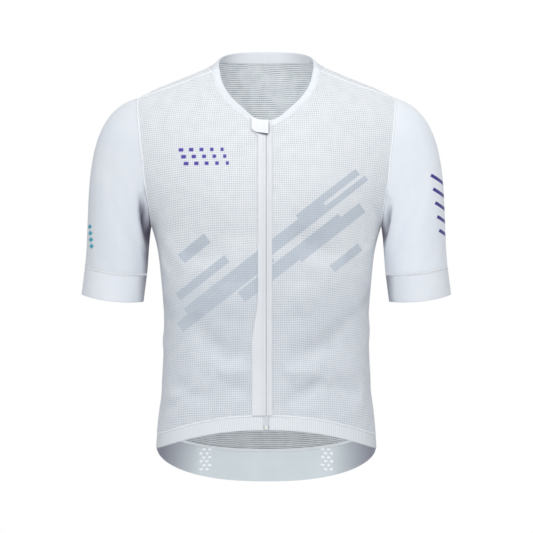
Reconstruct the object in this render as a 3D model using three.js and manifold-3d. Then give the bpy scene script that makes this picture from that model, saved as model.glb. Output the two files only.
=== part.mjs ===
// A short-sleeved cycling jersey with a full-length front zip, filled out as if worn by an upright
// figure whose arms hang a little away from the sides. Millimetres, +Z up, the wearer's front
// towards -Y and the wearer's left towards +X. The origin lies midway between the shoulders at the
// height of the neck's sides, where the wearer's shoulders carry the garment.
//
// Every cloth piece is a wall whose outer face is worked out on a grid of rows and columns. Pieces
// that are sewn together share the points of their seam, drawn back from it by half a seam gap.
import * as THREE from "three";
import { mergeVertices } from "three/addons/utils/BufferGeometryUtils.js";
import Module from "manifold-3d";

// Thicknesses and gaps
const MESH_WALL = 1.2; // open-knit body panels
const SLEEVE_WALL = 1.0; // smooth stretch cloth of the sleeves
const BAND_WALL = 1.5; // doubled cloth of the neckband, cuffs and hem bands
const POCKET_WALL = 1.0;
const ZIP_WALL = 1.1;
const SEAM_GAP = 0.4;
const LAY_GAP = 0.35; // between a panel and what lies on it

// Heights of the trunk's main levels
const ARMPIT_Z = -250;
const CHEST_Z = -150; // level where the rows stop being flat and start to climb over the shoulder
const HEM_SIDE_Z = -592; // lower edge at the side seams
const HEM_FRONT_RISE = 35.5; // how far the lower edge climbs towards the zip
const HEM_BACK_DROP = 67; // how far the back's tail falls below the sides
const HEM_BAND = 21; // turned-up hem of the fronts
const GRIPPER_SIDE = 42; // elastic band of the back, at the side seams
const GRIPPER_CENTRE = 50; // the same band at the middle of the back

// Widths and angles round the trunk. An angle of 0 is the centre front and PI the centre back.
const ZIP_HALF = 3; // the fronts stop here, and the zip's tapes fill the rest
const ZIP_SPLIT = 0.2; // half the gap between the closed zip's two sides
const SIDE_SEAM = THREE.MathUtils.degToRad(88);
const ARMHOLE_FRONT_Y = -58;
const ARMHOLE_BACK_Y = 62;

// Grid sizes: columns across and rows up
const FRONT_NECK_COLUMNS = 7;
const BACK_NECK_COLUMNS = 6;
const SHOULDER_COLUMNS = 8;
const BODY_ROWS = 14;
const ARMPIT_ROWS = 5;
const CHEST_ROWS = 7;
const SLEEVE_ROWS = 11;
const CUFF_ROWS = 3;
const BAND_ROWS = 2;
const NECK_ROWS = 2;

// Plackets, pockets and the zip's hard parts
const PLACKET_IN = 3.4; // both strips start this far from the zip's middle
const PLACKET_NARROW = 8; // the wearer's left strip ends here
const PLACKET_SLIM = 12; // the wearer's right strip ends here in its upper part
const PLACKET_WIDE = 21; // and here below, and under the flap, which is sewn on it
const PLACKET_WIDENS = { from: -355, to: -430 }; // heights between which it grows wider
const PLACKET_FLARES = { from: -121, to: -113 }; // and again up to the flap
const PLACKET_WALL = 0.8;
const PLACKET_GAP = 0.6;
const SLIDER_Z = -104; // height of the closed zip's slider
const SLIDER = { width: 5.4, length: 9, wall: 1.2 };
const CROWN = { width: 1.4, length: 6.4, post: 1, under: 1.45, bar: 0.8 }; // holds the pull
const PULL = { width: 4.4, tip: 3.4, wall: 0.9, top: 1.5, bottom: -14.2, bar: 1.1 };
const PULL_WINDOW = { width: 2.2, length: 4.6 };
const FLAP = { left: -22.5, right: 3.2, bottom: -12.8, corner: 9, low: 2.2, high: 5.3, wall: 0.9 };
const ZIP_BOX = { width: 4.4, length: 5, wall: 1.6, above: 0.6 }; // joins the zip's lower ends
const POCKET_ROWS = 6;
const POCKET_SPLIT = 3; // columns from the centre back to the middle pocket's side
const POCKET_END = 10; // columns from the centre back to a side pocket's outer side

// Level sections of the trunk: half width, depth in front and behind, and how square the oval is.
const TRUNK = [
  { z: -680, width: 165, front: 100, back: 103, square: 2.3 },
  { z: -640, width: 168, front: 101, back: 103, square: 2.3 },
  { z: -600, width: 170.5, front: 101, back: 101, square: 2.3 },
  { z: -560, width: 168, front: 99, back: 95, square: 2.3 },
  { z: -500, width: 162, front: 96, back: 87, square: 2.3 },
  { z: -440, width: 158.5, front: 95, back: 83, square: 2.3 },
  { z: -390, width: 158, front: 97, back: 85, square: 2.3 },
  { z: -340, width: 161.5, front: 102, back: 91, square: 2.28 },
  { z: -290, width: 167, front: 107, back: 99, square: 2.22 },
  { z: -258, width: 175, front: 110, back: 104, square: 2.17 },
  { z: -240, width: 182, front: 110.5, back: 106, square: 2.14 },
  { z: -215, width: 195, front: 109.5, back: 107, square: 2.1 },
  { z: -180, width: 216, front: 104.5, back: 106, square: 2.05 },
  { z: -150, width: 233, front: 98, back: 103, square: 2.0 },
  { z: -120, width: 247, front: 90, back: 98, square: 2.0 },
];

// Soft forms that the figure gives the front and the back, each a round swelling or hollow.
const FORMS = [
  { x: 76, z: -190, across: 52, along: 44, out: 5, face: -1 }, // chest
  { x: 66, z: -268, across: 58, along: 24, out: -3, face: -1 }, // under the chest
  { x: 0, z: -205, across: 20, along: 60, out: -3, face: -1 }, // breastbone
  { x: 48, z: -395, across: 45, along: 60, out: 2.5, face: -1 }, // belly
  { x: 82, z: -140, across: 50, along: 60, out: 5, face: 1 }, // shoulder blade
  { x: 0, z: -330, across: 32, along: 140, out: -5, face: 1 }, // spine
];

// The seam between the fronts and the neckband, from the zip to the shoulder seam. The climb is the
// direction in which the front's cloth arrives at it, longer where it keeps that course for longer.
const FRONT_NECK = [
  { x: ZIP_HALF, y: -78, z: -102, climb: [0, 0.42, 0.91] },
  { x: 20, y: -75.5, z: -96, climb: [-0.05, 0.45, 0.89] },
  { x: 39, y: -68, z: -82, climb: [-0.15, 0.5, 0.85] },
  { x: 60, y: -53, z: -62, climb: [-0.32, 0.58, 0.75] },
  { x: 75, y: -38, z: -40, climb: [-0.4, 0.64, 0.66] },
  { x: 83, y: -20, z: -12.5, climb: [-0.3, 0.7, 0.64] },
];

// The shoulder seam, from the neck to the armhole. It lies a little forward of the shoulder's ridge,
// so the back's cloth arrives at it from above, over the ridge.
const SHOULDER = [
  { x: 83, y: -20, z: -12.5, climb: [-0.3, 0.7, 0.64], over: [-1.04, -1, -0.41] },
  { x: 104, y: -22, z: -20.5, climb: [0, 0.74, 0.67], over: [-0.85, -1.07, -0.43] },
  { x: 130, y: -22, z: -31, climb: [0, 0.76, 0.65], over: [-1.12, -0.93, -0.36] },
  { x: 162, y: -20, z: -42, climb: [0, 0.8, 0.6], over: [-0.46, -0.89, -0.56] },
  { x: 184, y: -16, z: -49.5, climb: [0.03, 0.83, 0.55], over: [-0.03, -0.83, -0.55] },
  { x: 199, y: -12, z: -56, climb: [0.06, 0.85, 0.52], over: [-0.06, -0.85, -0.52] },
];

// The seam between the back and the neckband, from the centre back to the shoulder seam.
const BACK_NECK = [
  { x: 0, y: 64, z: 9.5, over: [0, -0.42, 0.91] },
  { x: 30, y: 60.5, z: 9.5, over: [0, -0.48, 0.88] },
  { x: 57, y: 49, z: 9, over: [0.2, -0.7, 0.6] },
  { x: 74, y: 32, z: 8, over: [-0.13, -0.62, 0.54] },
  { x: 82, y: 6, z: 1, over: [-0.33, -0.77, -0.07] },
  { x: 83, y: -20, z: -12.5, over: [-1.04, -1, -0.41] },
];

// The neckband's upper edge beside each of the points above
const NECK_TOP_FRONT = [
  { x: ZIP_HALF, y: -72, z: -94 },
  { x: 17.5, y: -68.5, z: -88.5 },
  { x: 34, y: -61, z: -74.5 },
  { x: 53.5, y: -46.5, z: -55 },
  { x: 66.5, y: -32.5, z: -34 },
  { x: 73.5, y: -15, z: -6 },
];
const NECK_TOP_BACK = [
  { x: 0, y: 58, z: 27 },
  { x: 28, y: 54.5, z: 26 },
  { x: 50, y: 43.5, z: 23 },
  { x: 66, y: 27, z: 17 },
  { x: 73.5, y: 5, z: 8 },
  { x: 73.5, y: -15, z: -6 },
];

// The sleeve hangs from the armhole to the cuff. Its lower ring is an oval seen along the arm.
const CUFF_OUTER = new THREE.Vector3(285.5, -4, -355);
const CUFF_INNER = new THREE.Vector3(190, -4, -367);
const CUFF_DEPTH = 53; // half size from front to back
const CUFF_BAND = 42;
const CUFF_DIP = 4; // how far the cuff's front and back hang below a flat ring
const ARM_AXIS = new THREE.Vector3(0.125, 0, -0.992).normalize();

const WHITE = 0xf2f4f7;
const DARK = 0x5b5f66;
const KNIT = 0xe3e8ea;
const ZIP_GREY = 0xb9c0c6;

// A smooth curve through a table's rows, for one column, by a cubic through four neighbours.
function tableValue(table, along, column, where) {
  let i = 0;
  while (i < table.length - 2 && where > table[i + 1][along]) i += 1;
  const at = (k) => table[Math.min(Math.max(k, 0), table.length - 1)];
  const span = at(i + 1)[along] - at(i)[along];
  const t = THREE.MathUtils.clamp((where - at(i)[along]) / span, 0, 1);
  const slope = (k) =>
    (at(k + 1)[column] - at(k - 1)[column]) / (at(k + 1)[along] - at(k - 1)[along]);
  return hermite(at(i)[column], slope(i) * span, at(i + 1)[column], slope(i + 1) * span, t);
}

function hermite(start, startSlope, end, endSlope, t) {
  const t2 = t * t;
  const t3 = t2 * t;
  return (
    (2 * t3 - 3 * t2 + 1) * start +
    (t3 - 2 * t2 + t) * startSlope +
    (3 * t2 - 2 * t3) * end +
    (t3 - t2) * endSlope
  );
}

function hermitePoint(start, startSlope, end, endSlope, t) {
  return new THREE.Vector3(
    hermite(start.x, startSlope.x, end.x, endSlope.x, t),
    hermite(start.y, startSlope.y, end.y, endSlope.y, t),
    hermite(start.z, startSlope.z, end.z, endSlope.z, t),
  );
}

// A point, and the cloth's course there, a share t of the way along a table of seam stations.
function seamAt(table, t) {
  const rows = table.map((row) => new THREE.Vector3(row.x, row.y, row.z));
  return new THREE.CatmullRomCurve3(rows, false, "centripetal").getPoint(t);
}

function courseAt(table, column, t) {
  const rows = table.map((row) => new THREE.Vector3(...row[column]));
  const place = t * (rows.length - 1);
  const i = Math.min(Math.floor(place), rows.length - 2);
  return rows[i].clone().lerp(rows[i + 1], place - i);
}

function trunkSizes(z) {
  return {
    width: tableValue(TRUNK, "z", "width", z),
    front: tableValue(TRUNK, "z", "front", z),
    back: tableValue(TRUNK, "z", "back", z),
    power: 2 / tableValue(TRUNK, "z", "square", z),
  };
}

// How far the soft forms move the cloth out at a place on the front or the back.
function formAt(x, z, face) {
  return FORMS.filter((form) => form.face === face).reduce(
    (sum, form) =>
      sum +
      form.out *
        Math.exp(-(((x - form.x) / form.across) ** 2) - ((z - form.z) / form.along) ** 2),
    0,
  );
}

// The trunk's level section: a squared oval, deeper behind or in front as the table says.
function trunkPoint(angle, z) {
  const { width, front, back, power } = trunkSizes(z);
  const cosine = Math.cos(angle);
  const face = cosine > 0 ? -1 : 1;
  const x = width * Math.max(Math.sin(angle), 0) ** power;
  const depth = (cosine > 0 ? front : back) * Math.abs(cosine) ** power;
  return new THREE.Vector3(x, face * (depth + formAt(x, z, face) * Math.abs(cosine)), z);
}

function angleAtX(x, z) {
  const { width, power } = trunkSizes(z);
  return Math.asin((x / width) ** (1 / power));
}

function angleAtY(y, z) {
  const { front, back, power } = trunkSizes(z);
  const angle = Math.acos((Math.abs(y) / (y < 0 ? front : back)) ** (1 / power));
  return y < 0 ? angle : Math.PI - angle;
}

// The angle where a panel ends: the side seam, or above the armpit the armhole, a quarter oval.
function edgeAngle(armholeY, z) {
  if (z <= ARMPIT_Z) return SIDE_SEAM;
  const sideY = trunkPoint(SIDE_SEAM, ARMPIT_Z).y;
  const below = (CHEST_Z - z) / (CHEST_Z - ARMPIT_Z);
  const reach = Math.sqrt(Math.max(1 - below * below, 0));
  return angleAtY(sideY + (armholeY - sideY) * reach, z);
}

// The garment's lower edge, as a height for each angle round the trunk.
function hemHeight(angle) {
  const c = Math.cos(angle);
  return c > 0
    ? HEM_SIDE_Z + HEM_FRONT_RISE * c ** 2
    : HEM_SIDE_Z - HEM_BACK_DROP * Math.abs(c) ** 0.9;
}

function gripperHeight(angle) {
  const c = Math.max(-Math.cos(angle), 0);
  return GRIPPER_SIDE + (GRIPPER_CENTRE - GRIPPER_SIDE) * c;
}

// The two kinds of body panel. Each says where its first and last columns are at a height, how high
// its band stands above the lower edge, and which seams close its top.
const FRONT = {
  startAngle: (z) => angleAtX(ZIP_HALF, z),
  endAngle: (z) => edgeAngle(ARMHOLE_FRONT_Y, z),
  bandHeight: () => HEM_BAND,
  neck: FRONT_NECK,
  course: "climb",
  neckColumns: FRONT_NECK_COLUMNS,
  reachStart: 0.33,
  reachEnd: 0.36,
};
const BACK = {
  startAngle: () => Math.PI,
  endAngle: (z) => edgeAngle(ARMHOLE_BACK_Y, z),
  bandHeight: gripperHeight,
  neck: BACK_NECK,
  course: "over",
  neckColumns: BACK_NECK_COLUMNS,
  reachStart: 0.42,
  reachEnd: 0.3,
};

const panelColumns = (panel) => panel.neckColumns + SHOULDER_COLUMNS;
const PANEL_ROWS = BODY_ROWS + ARMPIT_ROWS + CHEST_ROWS;

function flatRowPoint(panel, share, z) {
  const start = panel.startAngle(z);
  return trunkPoint(start + share * (panel.endAngle(z) - start), z);
}

// Where a column ends at the top: on the neck seam, or on the shoulder seam.
function topOf(panel, column) {
  const atNeck = column <= panel.neckColumns;
  const seam = atNeck ? panel.neck : SHOULDER;
  const t = atNeck
    ? column / panel.neckColumns
    : (column - panel.neckColumns) / SHOULDER_COLUMNS;
  return { point: seamAt(seam, t), course: courseAt(seam, panel.course, t) };
}

// A point of a body panel's outer face on the wearer's left. Rows below the chest are level but for
// the lowest, which follow the hem; above the chest each column climbs in one curve to the top seam,
// with its rows closer together towards the shoulder.
function panelPoint(panel, column, row) {
  const share = column / panelColumns(panel);
  if (row <= BODY_ROWS) {
    const start = panel.startAngle(HEM_SIDE_Z);
    const angle = start + share * (SIDE_SEAM - start);
    const low = hemHeight(angle) + panel.bandHeight(angle);
    return flatRowPoint(panel, share, low + (ARMPIT_Z - low) * (row / BODY_ROWS));
  }
  if (row <= BODY_ROWS + ARMPIT_ROWS) {
    const turn = ((row - BODY_ROWS) / ARMPIT_ROWS) * (Math.PI / 2);
    return flatRowPoint(panel, share, CHEST_Z - (CHEST_Z - ARMPIT_Z) * Math.cos(turn));
  }
  const step = 2;
  const start = flatRowPoint(panel, share, CHEST_Z);
  const rise = start.clone().sub(flatRowPoint(panel, share, CHEST_Z - step)).normalize();
  const { point, course } = topOf(panel, column);
  const chord = point.distanceTo(start);
  return hermitePoint(
    start,
    rise.multiplyScalar(3 * panel.reachStart * chord),
    point,
    course.multiplyScalar(3 * panel.reachEnd * chord),
    1 - (1 - (row - BODY_ROWS - ARMPIT_ROWS) / CHEST_ROWS) ** 1.25,
  );
}

// The armhole, from the shoulder seam down the front to the armpit and up the back again. Its
// points are the end points of the panels' rows, so the sleeve is sewn on point to point.
const ARMHOLE_HALF = ARMPIT_ROWS + CHEST_ROWS;
const SLEEVE_COLUMNS = 2 * ARMHOLE_HALF;
function armholePoint(column) {
  const down = column <= ARMHOLE_HALF;
  const panel = down ? FRONT : BACK;
  const row = down ? PANEL_ROWS - column : PANEL_ROWS - SLEEVE_COLUMNS + column;
  return panelPoint(panel, panelColumns(panel), row);
}

// How far round the armhole each column lies, by length, as an angle from the shoulder seam.
const ARMHOLE_TURNS = (() => {
  const lengths = [0];
  for (let k = 1; k <= SLEEVE_COLUMNS; k += 1)
    lengths.push(lengths[k - 1] + armholePoint(k).distanceTo(armholePoint(k - 1)));
  const halfway = lengths[ARMHOLE_HALF];
  const whole = lengths[SLEEVE_COLUMNS];
  return lengths.map((length) =>
    length <= halfway
      ? (Math.PI * length) / halfway
      : Math.PI * (1 + (length - halfway) / (whole - halfway)),
  );
})();

// A point of the cuff's ring, raised along the arm by the given length. A turn of 0 is the arm's
// outer side, a quarter turn its front and half a turn the side towards the body.
function cuffRing(turn, raised) {
  const middle = CUFF_OUTER.clone().add(CUFF_INNER).multiplyScalar(0.5);
  const across = CUFF_OUTER.clone().sub(middle).multiplyScalar(Math.cos(turn));
  const dip = CUFF_DIP * Math.sin(turn) ** 2;
  return middle
    .add(across)
    .add(new THREE.Vector3(0, -CUFF_DEPTH * Math.sin(turn), -dip))
    .addScaledVector(ARM_AXIS, -raised);
}

// The direction in which the sleeve leaves the armhole: out over the shoulder at the top, outwards
// at the front and back, and almost straight down at the armpit.
function sleeveStart(turn) {
  const c = Math.cos(turn);
  const c2 = Math.cos(2 * turn);
  return new THREE.Vector3(
    0.65 + 0.4 * c - 0.08 * c2,
    0.1 * Math.sin(turn),
    -0.65 + 0.37 * c + 0.03 * c2,
  ).normalize();
}

function sleevePoint(column, row) {
  const turn = ARMHOLE_TURNS[column];
  const start = armholePoint(column);
  const end = cuffRing(turn, CUFF_BAND);
  const chord = start.distanceTo(end);
  return hermitePoint(
    start,
    sleeveStart(turn).multiplyScalar(1.07 * chord),
    end,
    ARM_AXIS.clone().multiplyScalar(0.93 * chord),
    row / SLEEVE_ROWS,
  );
}

const cuffPoint = (column, row) =>
  cuffRing(ARMHOLE_TURNS[column], CUFF_BAND * (1 - row / CUFF_ROWS));

// The hem band of a front and the elastic band of the back, from the lower edge up to the panel.
function bandPoint(panel, column, row) {
  const start = panel.startAngle(HEM_SIDE_Z);
  const angle = start + (column / panelColumns(panel)) * (SIDE_SEAM - start);
  const edge = hemHeight(angle);
  const z = edge + panel.bandHeight(angle) * (row / BAND_ROWS);
  return flatRowPoint(panel, column / panelColumns(panel), z);
}

// The neckband, from the centre back round to the zip.
function neckbandPoint(column, row) {
  const behind = column <= BACK_NECK_COLUMNS;
  const t = behind
    ? column / BACK_NECK_COLUMNS
    : 1 - (column - BACK_NECK_COLUMNS) / FRONT_NECK_COLUMNS;
  const low = seamAt(behind ? BACK_NECK : FRONT_NECK, t);
  const high = seamAt(behind ? NECK_TOP_BACK : NECK_TOP_FRONT, t);
  return low.lerp(high, row / NECK_ROWS);
}

// A point of the front at a given distance from the zip's middle.
function frontAtX(x, row) {
  let low = 0;
  let high = panelColumns(FRONT);
  for (let k = 0; k < 40; k += 1) {
    const middle = (low + high) / 2;
    if (panelPoint(FRONT, middle, row).x < x) low = middle;
    else high = middle;
  }
  return panelPoint(FRONT, low, row);
}

// The zip's line from the lower edge to the neckband's upper edge, and a point beside it.
const ZIP_ROWS = BAND_ROWS + PANEL_ROWS + NECK_ROWS;
function zipPoint(x, row) {
  let point;
  if (row < BAND_ROWS) point = bandPoint(FRONT, 0, row);
  else if (row <= BAND_ROWS + PANEL_ROWS) point = panelPoint(FRONT, 0, row - BAND_ROWS);
  else {
    const column = BACK_NECK_COLUMNS + FRONT_NECK_COLUMNS;
    point = neckbandPoint(column, row - BAND_ROWS - PANEL_ROWS);
  }
  return point.setX(x);
}

// The grid of a piece's outer points, and its faces' normals, which all point out of the garment.
function gridOf({ at, columns, rows, round = false }) {
  const last = round ? columns - 1 : columns;
  const points = [];
  for (let i = 0; i <= rows; i += 1) {
    points.push([]);
    for (let j = 0; j <= last; j += 1) points[i].push(at(j, i));
  }
  const next = (j) => (round ? (j + 1) % columns : j + 1);
  const normals = points.map((line) => line.map(() => new THREE.Vector3()));
  for (let i = 0; i < rows; i += 1)
    for (let j = 0; j < columns; j += 1) {
      const corners = [[i, j], [i, next(j)], [i + 1, next(j)], [i + 1, j]];
      const [a, b, c, d] = corners.map(([r, k]) => points[r][k]);
      const face = c.clone().sub(a).cross(d.clone().sub(b));
      corners.forEach(([r, k]) => normals[r][k].add(face));
    }
  return { points, normals, last, next };
}

// Pieces sewn together share one normal at each seam point, so their walls meet in a mitre. It lies
// midway between the trunk's, the arm's and the neck's own directions there. The garment is the same
// on both sides, so one table of the wearer's left side serves for both.
const seamNormals = new Map();
const placeKey = (p) => [Math.abs(p.x), p.y, p.z].map((v) => Math.round(v * 100)).join();
const sided = (normal, p) => (p.x < 0 ? normal.clone().setX(-normal.x) : normal.clone());

function shareNormals(spec) {
  const { points, normals } = gridOf(spec);
  points.forEach((line, i) =>
    line.forEach((p, j) => {
      const key = placeKey(p);
      if (!seamNormals.has(key)) seamNormals.set(key, {});
      const parts = seamNormals.get(key);
      parts[spec.region] ??= new THREE.Vector3();
      parts[spec.region].add(sided(normals[i][j], p));
    }),
  );
}

function sharedNormal(p) {
  const parts = seamNormals.get(placeKey(p));
  if (!parts) return null;
  const sum = new THREE.Vector3();
  Object.values(parts).forEach((normal) => sum.add(normal.clone().normalize()));
  return sided(sum.normalize(), p);
}

// How far a point of a sewn edge moves into its own piece, to leave half a seam gap. Each edge that
// meets there is given by a neighbour along it and a neighbour inside it.
function drawBack(raw, edges, own, shared) {
  const sum = new THREE.Vector3();
  edges.forEach(([along, inside]) => {
    const edge = along.clone().sub(raw).projectOnPlane(own).normalize();
    sum.add(inside.clone().sub(raw).projectOnPlane(own).projectOnPlane(edge).normalize());
  });
  const straight = Math.max(sum.length() / edges.length, 0.6);
  return sum.projectOnPlane(shared).setLength(SEAM_GAP / 2 / straight);
}

// A closed wall from a grid of outer points. The inner face lies one wall's thickness inside.
function wall(spec) {
  const { columns, rows, thickness, round = false, sewn = {}, out = 0 } = spec;
  const { turnAt = columns } = spec; // from this column on, cells are cut along their other diagonal
  const { points, normals, last, next } = gridOf(spec);
  const before = (j) => (j + columns - 1) % columns;
  const outer = [];
  const inner = [];
  for (let i = 0; i <= rows; i += 1)
    for (let j = 0; j <= last; j += 1) {
      const raw = points[i][j];
      const own = normals[i][j].clone().normalize();
      const n = sharedNormal(raw) ?? own;
      const mitre = 1 / Math.max(n.dot(own), 0.7);
      const place = raw.clone().addScaledVector(n, out * mitre);
      const edges = [];
      const side = (inside) => {
        if (i > 0) edges.push([points[i - 1][j], inside]);
        if (i < rows) edges.push([points[i + 1][j], inside]);
      };
      const level = (inside) => {
        if (round || j > 0) edges.push([points[i][round ? before(j) : j - 1], inside]);
        if (round || j < last) edges.push([points[i][next(j)], inside]);
      };
      if (sewn.start && j === 0) side(points[i][1]);
      if (sewn.end && j === last) side(points[i][last - 1]);
      if (sewn.bottom && i === 0) level(points[1][j]);
      if (sewn.top && i === rows) level(points[rows - 1][j]);
      if (edges.length) place.add(drawBack(raw, edges, own, n));
      outer.push(place);
      inner.push(place.clone().addScaledVector(n, -thickness * mitre));
    }
  const faces = [];
  const width = last + 1;
  const o = outer.length;
  for (let i = 0; i < rows; i += 1)
    for (let j = 0; j < columns; j += 1) {
      const quad = (p, q, r, t) =>
        faces.push(...(j < turnAt ? [p, q, r, p, r, t] : [p, q, t, q, r, t]));
      const a = i * width + j;
      const b = i * width + next(j);
      const c = b + width;
      const d = a + width;
      quad(a, b, c, d);
      quad(a + o, d + o, c + o, b + o);
      if (i === 0) quad(b, a, a + o, b + o);
      if (i === rows - 1) quad(d, c, c + o, d + o);
      if (!round && j === 0) quad(a, d, d + o, a + o);
      if (!round && j === columns - 1) quad(c, b, b + o, c + o);
    }
  return geometryOf([...outer, ...inner], faces);
}

function geometryOf(points, faces) {
  const geometry = new THREE.BufferGeometry();
  geometry.setAttribute(
    "position",
    new THREE.Float32BufferAttribute(points.flatMap((p) => [p.x, p.y, p.z]), 3),
  );
  geometry.setIndex(faces);
  geometry.computeVertexNormals();
  return geometry;
}

// The same piece on the other side of the body.
function mirrored(geometry) {
  const made = geometry.clone();
  const place = made.getAttribute("position");
  for (let k = 0; k < place.count; k += 1) place.setX(k, -place.getX(k));
  const index = [...made.index.array];
  for (let k = 0; k < index.length; k += 3)
    [index[k + 1], index[k + 2]] = [index[k + 2], index[k + 1]];
  made.setIndex(index);
  made.computeVertexNormals();
  return made;
}

const jersey = new THREE.Group();

function addPiece(name, geometry, colour, roughness = 0.85) {
  const material = new THREE.MeshStandardMaterial({ color: colour, roughness, metalness: 0 });
  const mesh = new THREE.Mesh(geometry, material);
  mesh.name = name;
  jersey.add(mesh);
}

function addPair(name, geometry, colour) {
  addPiece(`${name}_left`, geometry, colour);
  addPiece(`${name}_right`, mirrored(geometry), colour);
}

// Back pieces run across from the wearer's left to the right, so they join both halves.
const BACK_HALF = panelColumns(BACK);
function acrossBack(pointOf) {
  return (column, row) => {
    const point = pointOf(BACK, Math.abs(column - BACK_HALF), row);
    if (column > BACK_HALF) point.x = -point.x;
    return point;
  };
}
const NECK_HALF = BACK_NECK_COLUMNS + FRONT_NECK_COLUMNS;
function acrossNeck(column, row) {
  const point = neckbandPoint(Math.abs(column - NECK_HALF), row);
  if (column > NECK_HALF) point.x = -point.x;
  return point;
}

// The pieces that are sewn edge to edge
const front = {
  region: "trunk",
  at: (column, row) => panelPoint(FRONT, column, row),
  columns: panelColumns(FRONT),
  rows: PANEL_ROWS,
  thickness: MESH_WALL,
  sewn: { start: true, end: true, bottom: true, top: true },
};
const frontHem = {
  region: "trunk",
  at: (column, row) => bandPoint(FRONT, column, row),
  columns: panelColumns(FRONT),
  rows: BAND_ROWS,
  thickness: BAND_WALL,
  sewn: { start: true, end: true, top: true },
};
const back = {
  region: "trunk",
  at: acrossBack(panelPoint),
  columns: 2 * BACK_HALF,
  turnAt: BACK_HALF,
  rows: PANEL_ROWS,
  thickness: MESH_WALL,
  sewn: { start: true, end: true, bottom: true, top: true },
};
const gripperBand = {
  region: "trunk",
  at: acrossBack(bandPoint),
  columns: 2 * BACK_HALF,
  turnAt: BACK_HALF,
  rows: BAND_ROWS,
  thickness: BAND_WALL,
  sewn: { start: true, end: true, top: true },
};
const sleeve = {
  region: "arm",
  at: sleevePoint,
  columns: SLEEVE_COLUMNS,
  rows: SLEEVE_ROWS,
  thickness: SLEEVE_WALL,
  round: true,
  sewn: { bottom: true, top: true },
};
const cuff = {
  region: "arm",
  at: cuffPoint,
  columns: SLEEVE_COLUMNS,
  rows: CUFF_ROWS,
  thickness: BAND_WALL,
  round: true,
  sewn: { bottom: true },
};
const neckband = {
  region: "neck",
  at: acrossNeck,
  columns: 2 * NECK_HALF,
  turnAt: NECK_HALF,
  rows: NECK_ROWS,
  thickness: BAND_WALL,
  sewn: { start: true, end: true, bottom: true },
};
[front, frontHem, back, gripperBand, sleeve, cuff, neckband].forEach(shareNormals);
addPair("front", wall(front), KNIT);
addPair("hem_front", wall(frontHem), WHITE);
addPiece("back", wall(back), KNIT);
addPiece("gripper_band", wall(gripperBand), WHITE);
addPair("sleeve", wall(sleeve), WHITE);
addPair("cuff", wall(cuff), WHITE);
addPiece("neckband", wall(neckband), WHITE);

// Zip tapes, butted at the middle, and the two plackets stitched down beside them
addPair(
  "zip_tape",
  wall({
    at: (column, row) => zipPoint(column ? ZIP_HALF - SEAM_GAP / 2 : ZIP_SPLIT, row),
    columns: 1,
    rows: ZIP_ROWS,
    thickness: ZIP_WALL,
  }),
  ZIP_GREY,
);
const placket = (slimX, wideX) =>
  wall({
    at: (column, row) => {
      const height = frontAtX(PLACKET_IN, row).z;
      const below = THREE.MathUtils.smoothstep(-height, -PLACKET_WIDENS.from, -PLACKET_WIDENS.to);
      const atFlap = THREE.MathUtils.smoothstep(height, PLACKET_FLARES.from, PLACKET_FLARES.to);
      const outerX = slimX + (wideX - slimX) * Math.max(below, atFlap);
      return frontAtX(PLACKET_IN + ((outerX - PLACKET_IN) * column) / 2, row);
    },
    columns: 2,
    rows: PANEL_ROWS,
    thickness: PLACKET_WALL,
    out: PLACKET_GAP + PLACKET_WALL,
  });
addPiece("placket_left", placket(PLACKET_NARROW, PLACKET_NARROW), WHITE);
addPiece("placket_right", mirrored(placket(PLACKET_SLIM, PLACKET_WIDE)), WHITE);

// A frame on the zip: its origin on the tape's outer face, its axes across, out of and up the zip.
function zipFrame(height) {
  let low = 0;
  let high = ZIP_ROWS;
  for (let k = 0; k < 40; k += 1) {
    const middle = (low + high) / 2;
    if (zipPoint(0, middle).z < height) low = middle;
    else high = middle;
  }
  const up = zipPoint(0, low + 0.1)
    .sub(zipPoint(0, low - 0.1))
    .normalize();
  const across = new THREE.Vector3(1, 0, 0);
  const frame = new THREE.Matrix4().makeBasis(across, up, across.clone().cross(up));
  return frame.setPosition(zipPoint(0, low));
}

// A flat outline thickened outwards from a given height above the tape.
function plate(shape, from, thickness) {
  const made = new THREE.ExtrudeGeometry(shape, {
    depth: thickness,
    bevelEnabled: false,
    curveSegments: 5,
  });
  return made.translate(0, 0, from);
}

function roundedBox(width, bottom, top, radius) {
  const x = width / 2;
  const shape = new THREE.Shape().moveTo(-x, bottom + radius);
  shape.quadraticCurveTo(-x, bottom, -x + radius, bottom);
  shape.lineTo(x - radius, bottom).quadraticCurveTo(x, bottom, x, bottom + radius);
  shape.lineTo(x, top - radius).quadraticCurveTo(x, top, x - radius, top);
  shape.lineTo(radius - x, top).quadraticCurveTo(-x, top, -x, top - radius);
  return shape;
}

const wasm = await Module();
wasm.setup();
function joined(geometries) {
  const solids = geometries.map((geometry) => {
    const bare = new THREE.BufferGeometry();
    bare.setAttribute("position", geometry.getAttribute("position"));
    const merged = mergeVertices(bare, 1e-4);
    return new wasm.Manifold(
      new wasm.Mesh({
        numProp: 3,
        vertProperties: merged.getAttribute("position").array,
        triVerts: new Uint32Array(merged.index.array),
      }),
    );
  });
  const mesh = wasm.Manifold.union(solids).getMesh();
  const made = new THREE.BufferGeometry();
  made.setAttribute("position", new THREE.BufferAttribute(mesh.vertProperties, 3));
  made.setIndex(new THREE.BufferAttribute(mesh.triVerts, 1));
  made.computeVertexNormals();
  return made;
}

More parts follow.
